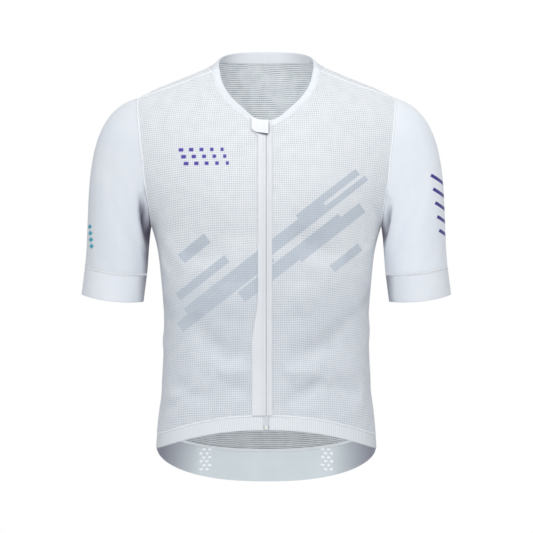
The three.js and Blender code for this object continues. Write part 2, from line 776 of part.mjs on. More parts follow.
// The slider is a plate on the closed zip with a crown over it. The pull's top bar lies under the
// crown, and its two arms pass the crown's lower post on either side.
const sliderFrame = zipFrame(SLIDER_Z);
const sliderTop = LAY_GAP + SLIDER.wall;
const half = SLIDER.length / 2;
const crownEnd = CROWN.length / 2;
const crownTop = sliderTop + CROWN.under;
const post = (from, to) => {
  const shape = new THREE.Shape().moveTo(-CROWN.width / 2, from);
  shape.lineTo(CROWN.width / 2, from).lineTo(CROWN.width / 2, to).lineTo(-CROWN.width / 2, to);
  return shape;
};
addPiece(
  "zip_slider",
  joined([
    plate(roundedBox(SLIDER.width, -half, half, 1.4), LAY_GAP, SLIDER.wall),
    plate(post(-crownEnd, CROWN.post - crownEnd), sliderTop - 0.3, CROWN.under + 0.4),
    plate(post(crownEnd - CROWN.post, crownEnd), sliderTop - 0.3, CROWN.under + 0.4),
    plate(post(-crownEnd, crownEnd), crownTop, CROWN.bar),
  ]).applyMatrix4(sliderFrame),
  DARK,
  0.45,
);

const pullShape = new THREE.Shape().moveTo(-PULL.width / 2, PULL.top);
pullShape.lineTo(-PULL.width / 2, -4.6).lineTo(-PULL.tip / 2, PULL.bottom + 1.2);
pullShape.quadraticCurveTo(-PULL.tip / 2, PULL.bottom, 0, PULL.bottom);
pullShape.quadraticCurveTo(PULL.tip / 2, PULL.bottom, PULL.tip / 2, PULL.bottom + 1.2);
pullShape.lineTo(PULL.width / 2, -4.6).lineTo(PULL.width / 2, PULL.top);
const windowTop = PULL.top - PULL.bar;
const windowShape = new THREE.Path().moveTo(-PULL_WINDOW.width / 2, windowTop);
windowShape.lineTo(PULL_WINDOW.width / 2, windowTop);
windowShape.lineTo(PULL_WINDOW.width / 2, windowTop - PULL_WINDOW.length);
windowShape.lineTo(-PULL_WINDOW.width / 2, windowTop - PULL_WINDOW.length);
pullShape.holes.push(windowShape);
const pullFrom = sliderTop + 0.35;
addPiece("zip_pull", plate(pullShape, pullFrom, PULL.wall).applyMatrix4(sliderFrame), DARK, 0.5);

// The pinned box at the zip's lower end
const boxTop = ZIP_BOX.above + ZIP_BOX.length;
const boxShape = roundedBox(ZIP_BOX.width, ZIP_BOX.above, boxTop, 1.3);
const boxFrame = zipFrame(HEM_SIDE_Z + HEM_FRONT_RISE + 0.5);
addPiece("zip_box", plate(boxShape, LAY_GAP, ZIP_BOX.wall).applyMatrix4(boxFrame), WHITE, 0.4);

// The flap over the slider: sewn at the wearer's right, rising towards its free edge, its outer
// lower corner rounded, and its top level with the neckband's upper edge.
const FLAP_COLUMNS = 6;
const FLAP_ROWS = 3;
function flapPoint(column, row) {
  const x = FLAP.left + ((FLAP.right - FLAP.left) * column) / FLAP_COLUMNS;
  const nearness = Math.max(1 - (x - FLAP.left) / FLAP.corner, 0);
  const bottom = FLAP.bottom + FLAP.corner * (1 - Math.sqrt(1 - (0.94 * nearness) ** 2));
  const top = 11.2 + 0.012 * x ** 2;
  const rise = FLAP.low + ((FLAP.high - FLAP.low) * column) / FLAP_COLUMNS;
  const height = bottom + ((top - bottom) * row) / FLAP_ROWS;
  return new THREE.Vector3(x, height, rise + FLAP.wall).applyMatrix4(sliderFrame);
}
addPiece(
  "zip_flap",
  wall({ at: flapPoint, columns: FLAP_COLUMNS, rows: FLAP_ROWS, thickness: FLAP.wall }),
  WHITE,
);

// Three open-topped pockets side by side on the lower back
const pocket = (from, to) =>
  wall({
    at: (column, row) => back.at(BACK_HALF + from + column, row),
    columns: to - from,
    turnAt: -from,
    rows: POCKET_ROWS,
    thickness: POCKET_WALL,
    out: LAY_GAP + POCKET_WALL,
    sewn: { start: true, end: true, bottom: true },
  });
addPiece("pocket_middle", pocket(-POCKET_SPLIT, POCKET_SPLIT), WHITE);
addPiece("pocket_left", pocket(-POCKET_END, -POCKET_SPLIT), WHITE);
addPiece("pocket_right", pocket(POCKET_SPLIT, POCKET_END), WHITE);

export default jersey;
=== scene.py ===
import math
import bmesh
import bpy
import numpy as np
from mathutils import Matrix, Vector


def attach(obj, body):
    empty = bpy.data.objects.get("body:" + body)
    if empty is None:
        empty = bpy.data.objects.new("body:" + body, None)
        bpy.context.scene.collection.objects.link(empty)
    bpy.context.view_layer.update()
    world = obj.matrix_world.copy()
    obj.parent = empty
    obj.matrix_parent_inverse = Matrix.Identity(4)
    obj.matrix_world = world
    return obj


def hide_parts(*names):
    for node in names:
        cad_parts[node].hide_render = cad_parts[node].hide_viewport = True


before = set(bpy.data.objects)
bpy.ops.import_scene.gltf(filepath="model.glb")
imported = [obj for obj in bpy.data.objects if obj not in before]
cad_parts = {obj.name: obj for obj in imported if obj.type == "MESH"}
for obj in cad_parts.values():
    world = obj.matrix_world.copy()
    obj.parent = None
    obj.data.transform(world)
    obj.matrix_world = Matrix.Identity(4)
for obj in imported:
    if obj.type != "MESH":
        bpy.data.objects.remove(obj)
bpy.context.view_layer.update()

for name in ("Cube", "Light", "Camera"):
    if name in bpy.data.objects:
        bpy.data.objects.remove(bpy.data.objects[name])

# The two fronts
# Each front is one panel of polyester mesh knit, cut from the neck to the hem band and shaped at the
# armhole. It is sewn to the zip's tape in the middle, to the back at the side and over the shoulder.
# All shapes are worked out in millimetres, the wearer's left first, and mirrored for the right.
MESH_CLOTH = 0.8
ARMPIT_Z, CHEST_Z = -250.0, -150.0
HEM_SIDE_Z, HEM_FRONT_RISE, HEM_BACK_DROP = -592.0, 35.5, 67.0
SIDE_SEAM = math.radians(88)
BODY_ROWS, ARMPIT_ROWS, CHEST_ROWS, SHOULDER_COLUMNS = 14, 5, 7, 8
PANEL_ROWS = BODY_ROWS + ARMPIT_ROWS + CHEST_ROWS

# Level sections of the trunk: height, half width, depth in front, depth behind, squareness
TRUNK = np.array([
    (-680, 165, 100, 103, 2.3),
    (-640, 168, 101, 103, 2.3),
    (-600, 170.5, 101, 101, 2.3),
    (-560, 168, 99, 95, 2.3),
    (-500, 162, 96, 87, 2.3),
    (-440, 158.5, 95, 83, 2.3),
    (-390, 158, 97, 85, 2.3),
    (-340, 161.5, 102, 91, 2.28),
    (-290, 167, 107, 99, 2.22),
    (-258, 175, 110, 104, 2.17),
    (-240, 182, 110.5, 106, 2.14),
    (-215, 195, 109.5, 107, 2.1),
    (-180, 216, 104.5, 106, 2.05),
    (-150, 233, 98, 103, 2.0),
    (-120, 247, 90, 98, 2.0),
])
# Soft forms of the figure: x, height, reach across, reach along, how far out, -1 front or 1 back
FORMS = np.array([
    (76, -190, 52, 44, 5, -1),
    (66, -268, 58, 24, -3, -1),
    (0, -205, 20, 60, -3, -1),
    (48, -395, 45, 60, 2.5, -1),
    (82, -140, 50, 60, 5, 1),
    (0, -330, 32, 140, -5, 1),
])
# Neck seam of the front, then shoulder seam: x, y, z and the course in which the cloth arrives there
FRONT_NECK = np.array([
    (3, -78, -102, 0, 0.42, 0.91),
    (20, -75.5, -96, -0.05, 0.45, 0.89),
    (39, -68, -82, -0.15, 0.5, 0.85),
    (60, -53, -62, -0.32, 0.58, 0.75),
    (75, -38, -40, -0.4, 0.64, 0.66),
    (83, -20, -12.5, -0.3, 0.7, 0.64),
])
SHOULDER = np.array([
    (83, -20, -12.5, -0.3, 0.7, 0.64),
    (104, -22, -20.5, 0, 0.74, 0.67),
    (130, -22, -31, 0, 0.76, 0.65),
    (162, -20, -42, 0, 0.8, 0.6),
    (184, -16, -49.5, 0.03, 0.83, 0.55),
    (199, -12, -56, 0.06, 0.85, 0.52),
])


def hermite(start, start_slope, end, end_slope, t):
    """The cubic from start to end, a share t of the way, that leaves and arrives with the slopes."""
    t2, t3 = t * t, t * t * t
    return (
        (2 * t3 - 3 * t2 + 1) * start
        + (t3 - 2 * t2 + t) * start_slope
        + (3 * t2 - 2 * t3) * end
        + (t3 - t2) * end_slope
    )


def through(table, column, where):
    """A cubic through one column of a table: a row's slope is that of the line past its neighbours."""
    x, v = table[:, 0], table[:, column]
    k = np.arange(len(x))
    up, down = np.minimum(k + 1, len(x) - 1), np.maximum(k - 1, 0)
    slope = (v[up] - v[down]) / (x[up] - x[down])
    i = np.clip(np.searchsorted(x, where) - 1, 0, len(x) - 2)
    span = x[i + 1] - x[i]
    t = np.clip((where - x[i]) / span, 0, 1)
    return hermite(v[i], slope[i] * span, v[i + 1], slope[i + 1] * span, t)


def seam_line(table, t):
    """A centripetal curve through a seam's stations: knots spread by the root of each distance."""
    p = table[:, :3]
    p = np.vstack([2 * p[0] - p[1], p, 2 * p[-1] - p[-2]])
    place = np.clip(t, 0, 1) * (len(table) - 1)
    i = np.minimum(place.astype(int), len(table) - 2)
    w = (place - i)[..., None]
    a, b, c, d = p[i], p[i + 1], p[i + 2], p[i + 3]
    root = lambda u, v: np.sqrt(np.linalg.norm(v - u, axis=-1, keepdims=True))
    ab, bc, cd = root(a, b), root(b, c), root(c, d)
    leave = ((b - a) / ab - (c - a) / (ab + bc) + (c - b) / bc) * bc
    arrive = ((c - b) / bc - (d - b) / (bc + cd) + (d - c) / cd) * bc
    return hermite(b, leave, c, arrive, w)


def course_line(table, t):
    """The cloth's course along a seam, straight between stations, from its table's last columns."""
    place = np.clip(t, 0, 1) * (len(table) - 1)
    i = np.minimum(place.astype(int), len(table) - 2)
    w = (place - i)[..., None]
    v = table[:, 3:6]
    return v[i] * (1 - w) + v[i + 1] * w


def trunk_sizes(z):
    return [through(TRUNK, column, z) for column in (1, 2, 3)] + [2 / through(TRUNK, 4, z)]


def form_out(x, z, face):
    """The sum of the soft forms on one face: each a round swelling that dies away like a bell."""
    total = np.zeros(np.broadcast(x, z).shape)
    for fx, fz, across, along, out, side in FORMS:
        bell = np.exp(-(((x - fx) / across) ** 2) - ((z - fz) / along) ** 2)
        total = total + np.where(face == side, out * bell, 0)
    return total


def trunk_point(angle, z):
    """A squared oval: x goes with a power of the sine and y with the same power of the cosine."""
    width, front, back, power = trunk_sizes(z)
    cosine = np.cos(angle)
    face = np.where(cosine > 0, -1, 1)
    x = width * np.maximum(np.sin(angle), 0) ** power
    depth = np.where(cosine > 0, front, back) * np.abs(cosine) ** power
    return np.stack([x, face * (depth + form_out(x, z, face) * np.abs(cosine)), z + 0 * x], -1)


def angle_at_x(x, z):
    width, _, _, power = trunk_sizes(z)
    return np.arcsin(np.clip(x / width, 0, 1) ** (1 / power))


def edge_angle(armhole_y, z):
    """The side seam's angle, and above the armpit the armhole's, a quarter oval in y and z."""
    side_y = trunk_point(np.array(SIDE_SEAM), np.array(ARMPIT_Z))[1]
    below = np.clip((CHEST_Z - z) / (CHEST_Z - ARMPIT_Z), 0, 1)
    y = side_y + (armhole_y - side_y) * np.sqrt(1 - below**2)
    _, front, back, power = trunk_sizes(z)
    angle = np.arccos(np.clip(np.abs(y) / np.where(y < 0, front, back), 0, 1) ** (1 / power))
    return np.where(z <= ARMPIT_Z, SIDE_SEAM, np.where(y < 0, angle, np.pi - angle))


def hem_height(angle):
    """The lower edge climbs in front with the square of the cosine and drops behind."""
    c = np.cos(angle)
    rise = HEM_FRONT_RISE * np.maximum(c, 0) ** 2
    return HEM_SIDE_Z + rise - HEM_BACK_DROP * np.maximum(-c, 0) ** 0.9


FRONT = dict(
    start=lambda z: angle_at_x(3.0, z),
    end=lambda z: edge_angle(-58.0, z),
    band=lambda angle: 21.0 + 0 * angle,
    neck=FRONT_NECK, neck_columns=7, shoulder=SHOULDER, reach=(0.33, 0.36),
)


def flat_row(panel, share, z):
    start = panel["start"](z)
    return trunk_point(start + share * (panel["end"](z) - start), z)


def panel_point(panel, share, row):
    """A body panel's outer face. Below the chest its rows are level and follow the hem lower down;
    above it each column climbs in one cubic to the neck seam or the shoulder seam."""
    share, row = np.broadcast_arrays(share, row)
    start = panel["start"](np.array(HEM_SIDE_Z))
    angle = start + share * (SIDE_SEAM - start)
    low = hem_height(angle) + panel["band"](angle)
    turn = np.clip((row - BODY_ROWS) / ARMPIT_ROWS, 0, 1) * np.pi / 2
    z = np.where(
        row <= BODY_ROWS,
        low + (ARMPIT_Z - low) * row / BODY_ROWS,
        CHEST_Z - (CHEST_Z - ARMPIT_Z) * np.cos(turn),
    )
    low_part = flat_row(panel, share, z)
    level = np.full(share.shape, CHEST_Z)
    begin = flat_row(panel, share, level)
    rise = begin - flat_row(panel, share, level - 2)
    rise = rise / np.linalg.norm(rise, axis=-1, keepdims=True)
    count = panel["neck_columns"]
    column = share * (count + SHOULDER_COLUMNS)
    at_neck = (column <= count)[..., None]
    t_neck, t_shoulder = column / count, (column - count) / SHOULDER_COLUMNS
    neck, shoulder = panel["neck"], panel["shoulder"]
    top = np.where(at_neck, seam_line(neck, t_neck), seam_line(shoulder, t_shoulder))
    course = np.where(at_neck, course_line(neck, t_neck), course_line(shoulder, t_shoulder))
    chord = np.linalg.norm(top - begin, axis=-1, keepdims=True)
    climb = np.clip((row - BODY_ROWS - ARMPIT_ROWS) / CHEST_ROWS, 0, 1)[..., None]
    reach_start, reach_end = panel["reach"]
    high_part = hermite(
        begin,
        rise * 3 * reach_start * chord,
        top,
        course * 3 * reach_end * chord,
        1 - (1 - climb) ** 1.25,
    )
    return np.where((row > BODY_ROWS + ARMPIT_ROWS)[..., None], high_part, low_part)


def steps(first, last, count):
    return np.linspace(first, last, count + 1)


def grid_normals(points, round_columns=False):
    """Unit normals of a grid, across its columns and rows, which point out of the garment."""
    if round_columns:
        across = np.roll(points, -1, 1) - np.roll(points, 1, 1)
    else:
        across = np.gradient(points, axis=1)
    normal = np.cross(across, np.gradient(points, axis=0))
    return normal / np.maximum(np.linalg.norm(normal, axis=-1, keepdims=True), 1e-9)


# Creases of the trunk: start and end as degrees round from the zip and height, sideways bend of the
# middle in mm, half width, and height in mm, below zero for a trough. The sign of the degrees is the
# wearer's side.
TRUNK_CREASES = np.array([
    # waist and belly, the wearer's right
    (-46, -383, -6, -450, -17, 18, -6.0),
    (-24, -474, -5, -468, 3, 12, 4.4),
    (-66, -519, -30, -493, 4, 9, 3.6),
    (-60, -490, -24, -508, -3, 13, -4.6),
    (-19, -498, -7, -500, 2, 12, -3.4),
    (-15, -338, -13, -392, 0, 25, 3.4),
    # waist and belly, the wearer's left
    (56, -380, 7, -450, -15, 18, -6.0),
    (58, -424, 30, -446, -4, 24, -3.0),
    (7, -470, 28, -466, -2, 11, 4.6),
    (11, -490, 29, -472, -3, 8, 2.0),
    (7, -514, 31, -482, -5, 15, -7.0),
    (33, -486, 62, -503, -3, 17, -5.0),
    (36, -548, 66, -522, 3, 13, 2.6),
    (16, -336, 15, -388, 0, 25, 3.4),
    # below the chest
    (-47, -302, -19, -286, -4, 18, -5.6),
    (11, -269, 43, -301, -5, 17, -6.6),
    (-64, -268, -46, -322, 4, 13, 1.8),
    # from the armpits
    (80, -262, 48, -214, 6, 7, -2.0),
    (76, -284, 56, -300, 4, 8, 1.8),
    (70, -232, 52, -196, 4, 5, -1.4),
    (-80, -258, -52, -206, -6, 8, -2.2),
    (-82, -286, -58, -330, -4, 9, 1.6),
    (-70, -228, -54, -200, -4, 5, 1.2),
    # sides
    (84, -360, 58, -396, 6, 12, -2.2),
    (96, -402, 66, -446, 7, 14, 2.2),
    (-88, -374, -60, -404, 6, 13, -2.0),
    (-98, -420, -68, -452, 6, 12, 1.9),
    (90, -496, 68, -532, 5, 15, -1.8),
    (-92, -504, -70, -546, 5, 14, -1.6),
    # back
    (118, -296, 158, -338, 9, 15, -3.0),
    (112, -334, 150, -372, 8, 13, 2.4),
    (-122, -302, -166, -330, 8, 14, -2.8),
    (-110, -340, -148, -384, 9, 12, 2.2),
    (150, -366, 206, -362, -9, 14, -2.6),
    (140, -394, 214, -398, -8, 12, 2.2),
    (104, -262, 132, -206, -7, 9, -2.4),
    (-106, -266, -136, -214, 7, 8, -2.2),
    (112, -236, 128, -186, -5, 6, 1.5),
    (-116, -240, -130, -190, 5, 6, 1.4),
    (172, -190, 170, -262, 5, 16, -1.6),
])


def crease_paths(table, place):
    """Each crease as 14 points in space: a straight run bent sideways by a half sine, put on the
    cloth by the given function of the table's first two columns."""
    t = np.linspace(0, 1, 14)[:, None]
    a0, b0, a1, b1, bend = table[:, :5].T
    side = bend * np.sin(np.pi * t)
    return place(a0 + (a1 - a0) * t, b0 + (b1 - b0) * t + side)


def on_trunk(degrees, z):
    point = trunk_point(np.radians(np.where(np.abs(degrees) > 180, 360 - np.abs(degrees), np.abs(degrees))), z)
    side = np.where(np.abs(degrees) > 180, -np.sign(degrees), np.sign(degrees))
    point[..., 0] *= side
    return point


def crease_height(points, table, paths):
    """Each crease raises the cloth as a bell of the distance to its path, fading to its two ends."""
    flat = points.reshape(-1, 3)
    total = np.zeros(len(flat))
    for k, (width, height) in enumerate(table[:, 5:7]):
        path = paths[:, k]
        near = np.linalg.norm(flat - path.mean(0), axis=1) < np.ptp(path, axis=0).max() + 3 * width
        p = flat[near]
        a, ab = path[:-1], np.diff(path, axis=0)
        t = np.clip(np.einsum("nsk,sk->ns", p[:, None] - a, ab) / (ab**2).sum(1), 0, 1)
        away = np.linalg.norm(p[:, None] - a - t[..., None] * ab, axis=2)
        s = away.argmin(1)
        along = (s + t[np.arange(len(p)), s]) / len(ab)
        fade = np.sin(np.pi * np.clip(along, 0, 1)) ** 0.7
        total[near] += height * fade * np.exp(-((away.min(1) / width) ** 2))
    return total.reshape(points.shape[:-1])


trunk_paths = crease_paths(TRUNK_CREASES, on_trunk)


def near_edge(share, reach=0.06):
    """0 on an armhole or neck edge, growing smoothly to 1 at the given share away from it."""
    t = np.clip(share / reach, 0, 1)
    return t * t * (3 - 2 * t)


def creased(points, keep, round_columns=False, table=TRUNK_CREASES, paths=trunk_paths):
    lift = crease_height(points, table, paths) * keep
    return points + grid_normals(points, round_columns) * lift[..., None]


def cloth_lengths(points):
    """A map of the cloth in metres: the length along each row, and up each column."""
    across = np.linalg.norm(np.diff(points, axis=1), axis=2)
    along = np.linalg.norm(np.diff(points, axis=0), axis=2)
    u = np.concatenate([np.zeros((len(points), 1)), across.cumsum(1)], 1)
    v = np.concatenate([np.zeros((1, points.shape[1])), along.cumsum(0)], 0)
    return np.stack([u, v], -1) / 1000


def knit_map(points):
    """A map of the trunk's knit in metres: lengths across, added up along each row of the grid without
    its rises and falls, from the column nearest to the middle plane, and heights, counted a little
    along the depth as well."""
    x, y, z = np.moveaxis(points, -1, 0)
    steps_across = np.hypot(np.diff(x, axis=1), np.diff(y, axis=1))
    run = np.concatenate([np.zeros_like(x[:, :1]), steps_across.cumsum(axis=1)], 1)
    middle = np.abs(x).argmin(axis=1)[:, None]
    way = np.sign(x[:, -1:] - x[:, :1])
    u = np.take_along_axis(x, middle, 1) + way * (run - np.take_along_axis(run, middle, 1))
    return np.stack([u, z + 0.25 * (100 - np.abs(y))], -1) / 1000


def surface(name, points, uv=None, turned=False, round_columns=False, round_rows=False, inner_row=None):
    """A mesh of quads over a grid of points in mm, with a map named cloth. A round direction closes
    on itself, turned reverses the faces of a mirrored piece, and the rows from inner_row on take the
    second material."""
    rows, columns = points.shape[:2]
    i, j = np.meshgrid(
        np.arange(rows if round_rows else rows - 1),
        np.arange(columns if round_columns else columns - 1),
        indexing="ij",
    )
    corners = [(0, 0), (0, 1), (1, 1), (1, 0)]
    if turned:
        corners = corners[::-1]
    index = np.stack([(i + a) % rows * columns + (j + b) % columns for a, b in corners], -1)
    mesh = bpy.data.meshes.new(name)
    mesh.vertices.add(rows * columns)
    mesh.vertices.foreach_set("co", (points.reshape(-1, 3) / 1000).ravel())
    mesh.loops.add(index.size)
    mesh.loops.foreach_set("vertex_index", index.ravel().astype(np.int32))
    mesh.polygons.add(index.size // 4)
    mesh.polygons.foreach_set("loop_start", np.arange(0, index.size, 4, dtype=np.int32))
    mesh.polygons.foreach_set("loop_total", np.full(index.size // 4, 4, dtype=np.int32))
    if inner_row is not None:
        mesh.polygons.foreach_set("material_index", (i >= inner_row).astype(np.int32).ravel())
    if uv is None:
        ring = np.concatenate([points, points[:, :1]], 1) if round_columns else points
        uv = cloth_lengths(np.concatenate([ring, ring[:1]], 0) if round_rows else ring)
    layer = mesh.uv_layers.new(name="cloth")
    loops = np.stack([uv[i + a, j + b] for a, b in corners], -2)
    layer.data.foreach_set("uv", loops.ravel())
    mesh.update(calc_edges=True)
    if round_rows and not round_columns:
        shell = bmesh.new()
        shell.from_mesh(mesh)
        bmesh.ops.remove_doubles(shell, verts=shell.verts, dist=1e-6)
        shell.to_mesh(mesh)
        shell.free()
    mesh.polygons.foreach_set("use_smooth", np.ones(len(mesh.polygons), dtype=bool))
    made = bpy.data.objects.new(name, mesh)
    bpy.context.scene.collection.objects.link(made)
    return made


def thicken(piece, mm):
    """Gives the cloth its thickness inwards; its inner face takes the piece's second material."""
    wall = piece.modifiers.new("cloth thickness", "SOLIDIFY")
    wall.thickness = mm / 1000
    wall.offset = -1
    wall.material_offset = 1
    return piece


def srgb(hex_colour):
    """Each channel of an sRGB hex value turned to linear light."""
    c = np.array([int(hex_colour[k : k + 2], 16) / 255 for k in (0, 2, 4)])
    linear = np.where(c <= 0.04045, c / 12.92, ((c + 0.055) / 1.055) ** 2.4)
    return (*linear, 1)


def node(tree, kind, inputs=(), **settings):
    """Adds a node, sets its properties, and gives each input a value or a link."""
    made = tree.nodes.new("ShaderNode" + kind)
    for key, value in settings.items():
        setattr(made, key, value)
    for key, value in dict(inputs).items():
        if isinstance(value, bpy.types.NodeSocket):
            tree.links.new(value, made.inputs[key])
        else:
            made.inputs[key].default_value = value
    return made


def new_material(name):
    material = bpy.data.materials.new(name)
    material.use_nodes = True
    tree = material.node_tree
    tree.nodes.clear()
    return material, tree


def deep_shade(tree, colour, reach=0.05, low=0.2, high=0.8):
    """Painted shade: the cloth's colour turns a soft violet grey where other cloth closes it in, as under the arms."""
    free = node(tree, "AmbientOcclusion", {"Distance": reach}).outputs["AO"]
    share = node(tree, "MapRange", {0: free, 1: low, 2: high, 3: 0.0, 4: 1.0}).outputs[0]
    return mixed(tree, share, srgb("5a5468"), colour)


def sine_ridges(tree, coordinate, pitch_m):
    """0 to 1 ridges across a coordinate: half of one plus the cosine of its turns at this pitch."""
    turns = node(tree, "Math", {0: coordinate, 1: 2 * math.pi / pitch_m}, operation="MULTIPLY")
    wave = node(tree, "Math", {0: turns.outputs[0]}, operation="COSINE")
    return node(tree, "Math", {0: wave.outputs[0], 1: 0.5, 2: 0.5}, operation="MULTIPLY_ADD").outputs[0]


def mixed(tree, share, first, second):
    made = node(tree, "Mix", {0: share, 6: first, 7: second}, data_type="RGBA")
    return made.outputs[2]


def slanted_bars(tree, bars, lean, soft=0.0012):
    """A mask of straight bars, each given by its middle x and z, half length and half width in mm.
    Along and across a bar its edge goes from 1 to 0 over the soft length, and the bars add up."""
    place = node(tree, "TexCoord").outputs["Object"]
    xyz = node(tree, "SeparateXYZ", {0: place})
    c, s = math.cos(lean), math.sin(lean)
    masks = []
    for x, z, half_length, half_width in np.array(bars) / 1000:
        sides = []
        for a, b, half in ((c, s, half_length), (-s, c, half_width)):
            part = node(tree, "Math", {0: xyz.outputs["X"], 1: a, 2: -a * x - b * z}, operation="MULTIPLY_ADD")
            whole = node(tree, "Math", {0: xyz.outputs["Z"], 1: b, 2: part.outputs[0]}, operation="MULTIPLY_ADD")
            away = node(tree, "Math", {0: whole.outputs[0]}, operation="ABSOLUTE")
            edge = node(tree, "MapRange", {0: away.outputs[0], 1: half - soft, 2: half, 3: 1.0, 4: 0.0})
            sides.append(edge.outputs[0])
        masks.append(node(tree, "Math", {0: sides[0], 1: sides[1]}, operation="MULTIPLY").outputs[0])
    total = masks[0]
    for mask in masks[1:]:
        total = node(tree, "Math", {0: total, 1: mask}, operation="MAXIMUM").outputs[0]
    return total


# Polyester mesh knit: matt white yarn in an open grid, so light and shade stay soft. The grid shows as
# fine crossing lines outside and level ones inside, it wanders a little as cloth does, and the holes
# look darker. A painted glow, where given, is painted light standing in for light that comes through
# the thin cloth. With a reach, the colour takes painted shade where other cloth closes it in. Its
# real pitch is about 1.6 mm; it is drawn at 3.2 mm, where it just shows.
def mesh_knit(name, prints_and_shades=(), upright_part=0.85, level_part=0.95, painted_glow=0.0, reach=0, hole_tint="b2bcc6"):
    material, tree = new_material(name)
    cloth = node(tree, "UVMap", uv_map="cloth").outputs[0]
    wander = node(tree, "TexNoise", {"Vector": cloth, "Scale": 22.0, "Detail": 2.0}).outputs["Color"]
    wander = node(tree, "VectorMath", {0: wander, 1: (-0.5, -0.5, 0)}, operation="ADD").outputs[0]
    wander = node(tree, "VectorMath", {0: wander, 1: (0.006, 0.006, 0)}, operation="MULTIPLY").outputs[0]
    warped = node(tree, "VectorMath", {0: cloth, 1: wander}, operation="ADD").outputs[0]
    uv = node(tree, "SeparateXYZ", {0: warped})
    upright = sine_ridges(tree, uv.outputs["X"], 0.0032)
    level = sine_ridges(tree, uv.outputs["Y"], 0.0034)
    upright = node(tree, "Math", {0: upright, 1: upright_part}, operation="MULTIPLY").outputs[0]
    level = node(tree, "Math", {0: level, 1: level_part}, operation="MULTIPLY").outputs[0]
    yarn = node(tree, "Math", {0: upright, 1: level}, operation="MAXIMUM").outputs[0]
    fleck = node(tree, "TexNoise", {"Vector": cloth, "Scale": 900.0, "Detail": 2.0}).outputs[0]
    cloud = node(tree, "TexNoise", {"Vector": cloth, "Scale": 14.0, "Detail": 3.0}).outputs[0]
    patchy = node(tree, "TexNoise", {"Vector": cloth, "Scale": 60.0, "Detail": 2.0}).outputs[0]
    open_part = node(tree, "MapRange", {0: patchy, 1: 0.35, 2: 0.65, 3: 0.0, 4: 0.35}).outputs[0]
    hole = node(tree, "MapRange", {0: yarn, 1: 0.1, 2: 0.8, 3: open_part, 4: 1.0}).outputs[0]
    colour = mixed(tree, hole, srgb(hole_tint), srgb("f6f8fa"))
    cloudy = node(tree, "MapRange", {0: cloud, 1: 0.3, 2: 0.7, 3: 0.0, 4: 0.25}).outputs[0]
    colour = mixed(tree, cloudy, colour, srgb("dfe5ea"))
    # Each mask lays a printed tone or a painted shade over the knit.
    for mask, print_and_shade_tone in prints_and_shades:
        print_and_shade_mix = mixed(tree, hole, srgb(print_and_shade_tone[0]), srgb(print_and_shade_tone[1]))
        colour = mixed(tree, mask(tree), colour, print_and_shade_mix)
    if reach:
        colour = deep_shade(tree, colour, reach)
    height = node(tree, "Math", {0: fleck, 1: 0.25, 2: yarn}, operation="MULTIPLY_ADD").outputs[0]
    bump = node(tree, "Bump", {"Height": height, "Strength": 0.4, "Distance": 0.0004}).outputs[0]
    shader = node(tree, "BsdfPrincipled", {"Base Color": colour, "Normal": bump, "Emission Color": colour})
    for key, value in (("Roughness", 0.82), ("Specular IOR Level", 0.25), ("Sheen Weight", 0.25),
                       ("Sheen Roughness", 0.5), ("Subsurface Weight", 0.7),
                       ("Subsurface Radius", (1, 1, 1)), ("Subsurface Scale", 0.003),
                       ("Emission Strength", painted_glow)):
        shader.inputs[key].default_value = value
    node(tree, "OutputMaterial", {0: shader.outputs[0]})
    return material


# Pale bars printed on the fronts, and a block of small dots on the wearer's right chest
BARS = [
    (-62, -352, 88, 9), (-18, -300, 132, 6), (38, -300, 96, 10), (58, -252, 118, 5), (96, -262, 62, 9),
    (-96, -330, 48, 7), (-108, -286, 26, 9), (92, -206, 58, 6), (120, -300, 28, 7),
]
CHEST_DOTS = [
    (-128 + 15.5 * k + 4 * row, -138 - 10.5 * row, 4.2 - 0.35 * k, 3.2)
    for row in range(3) for k in range(5)
]


def painted_shade_below(tree):
    """Painted shade, darker from the waist down: 0 on the chest and a small share below the waist, where the thin mesh
    shows the shaded hollow.
    """
    z = node(tree, "SeparateXYZ", {0: node(tree, "TexCoord").outputs["Object"]}).outputs["Z"]
    return node(tree, "MapRange", {0: z, 1: -0.28, 2: -0.37, 3: 0.0, 4: 0.3}).outputs[0]


def pale_bars(tree):
    return slanted_bars(tree, BARS, math.radians(38))


def chest_dots(tree):
    return slanted_bars(tree, CHEST_DOTS, 0.0, 0.001)


# Besides its printed bars and dots, the fronts' knit takes painted shade from the waist down.
front_knit = mesh_knit("polyester mesh knit, printed", [
    (painted_shade_below, ("8c94a3", "b6bdc9")),
    (pale_bars, ("a9b2bd", "cad1d9")),
    (chest_dots, ("4b3a95", "5f4cab")),
])
back_knit = mesh_knit("polyester mesh knit")
# The inner face has a painted glow standing in for light that comes through the knit, and painted shade where other
# cloth closes it in.
inner_knit = mesh_knit("polyester mesh knit, inner face", (), 0.35, 1.0, 0.13, 0.05, "7f8b90")

FINE = 8


def dressed(piece, material, slot, *nodes, body="jersey", inside=None):
    piece.data.materials.append(material)
    if inside:
        piece.data.materials.append(inside)
    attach(piece, body)
    if nodes:
        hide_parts(*nodes)
    return piece


def mirrored(points):
    return points * np.array([-1, 1, 1])


share = steps(0, 1, 84)[None, :]
row = steps(0, PANEL_ROWS, PANEL_ROWS * FINE)[:, None]
front_grid = panel_point(FRONT, share, row)
above = np.clip((row - BODY_ROWS) / 4, 0, 1)
low_edge = 0.5 + 0.5 * near_edge(row / 3, 1)
from_zip = near_edge((front_grid[..., 0] - 7) / 26, 1)
keep_front = (1 - above * (1 - near_edge(1 - share, 0.12))) * near_edge((PANEL_ROWS - row) / 3, 1)
keep_front = keep_front * low_edge * from_zip
for side, name in ((1, "left"), (-1, "right")):
    base = front_grid if side > 0 else mirrored(front_grid)
    base = base if side > 0 else base[:, ::-1]
    keep = keep_front if side > 0 else keep_front[:, ::-1]
    shaped = creased(base, keep)
    piece = thicken(surface(f"front_panel_{name}", shaped, knit_map(shaped)), MESH_CLOTH)
    dressed(piece, front_knit, "mesh_knit", f"front_{name}", inside=inner_knit)

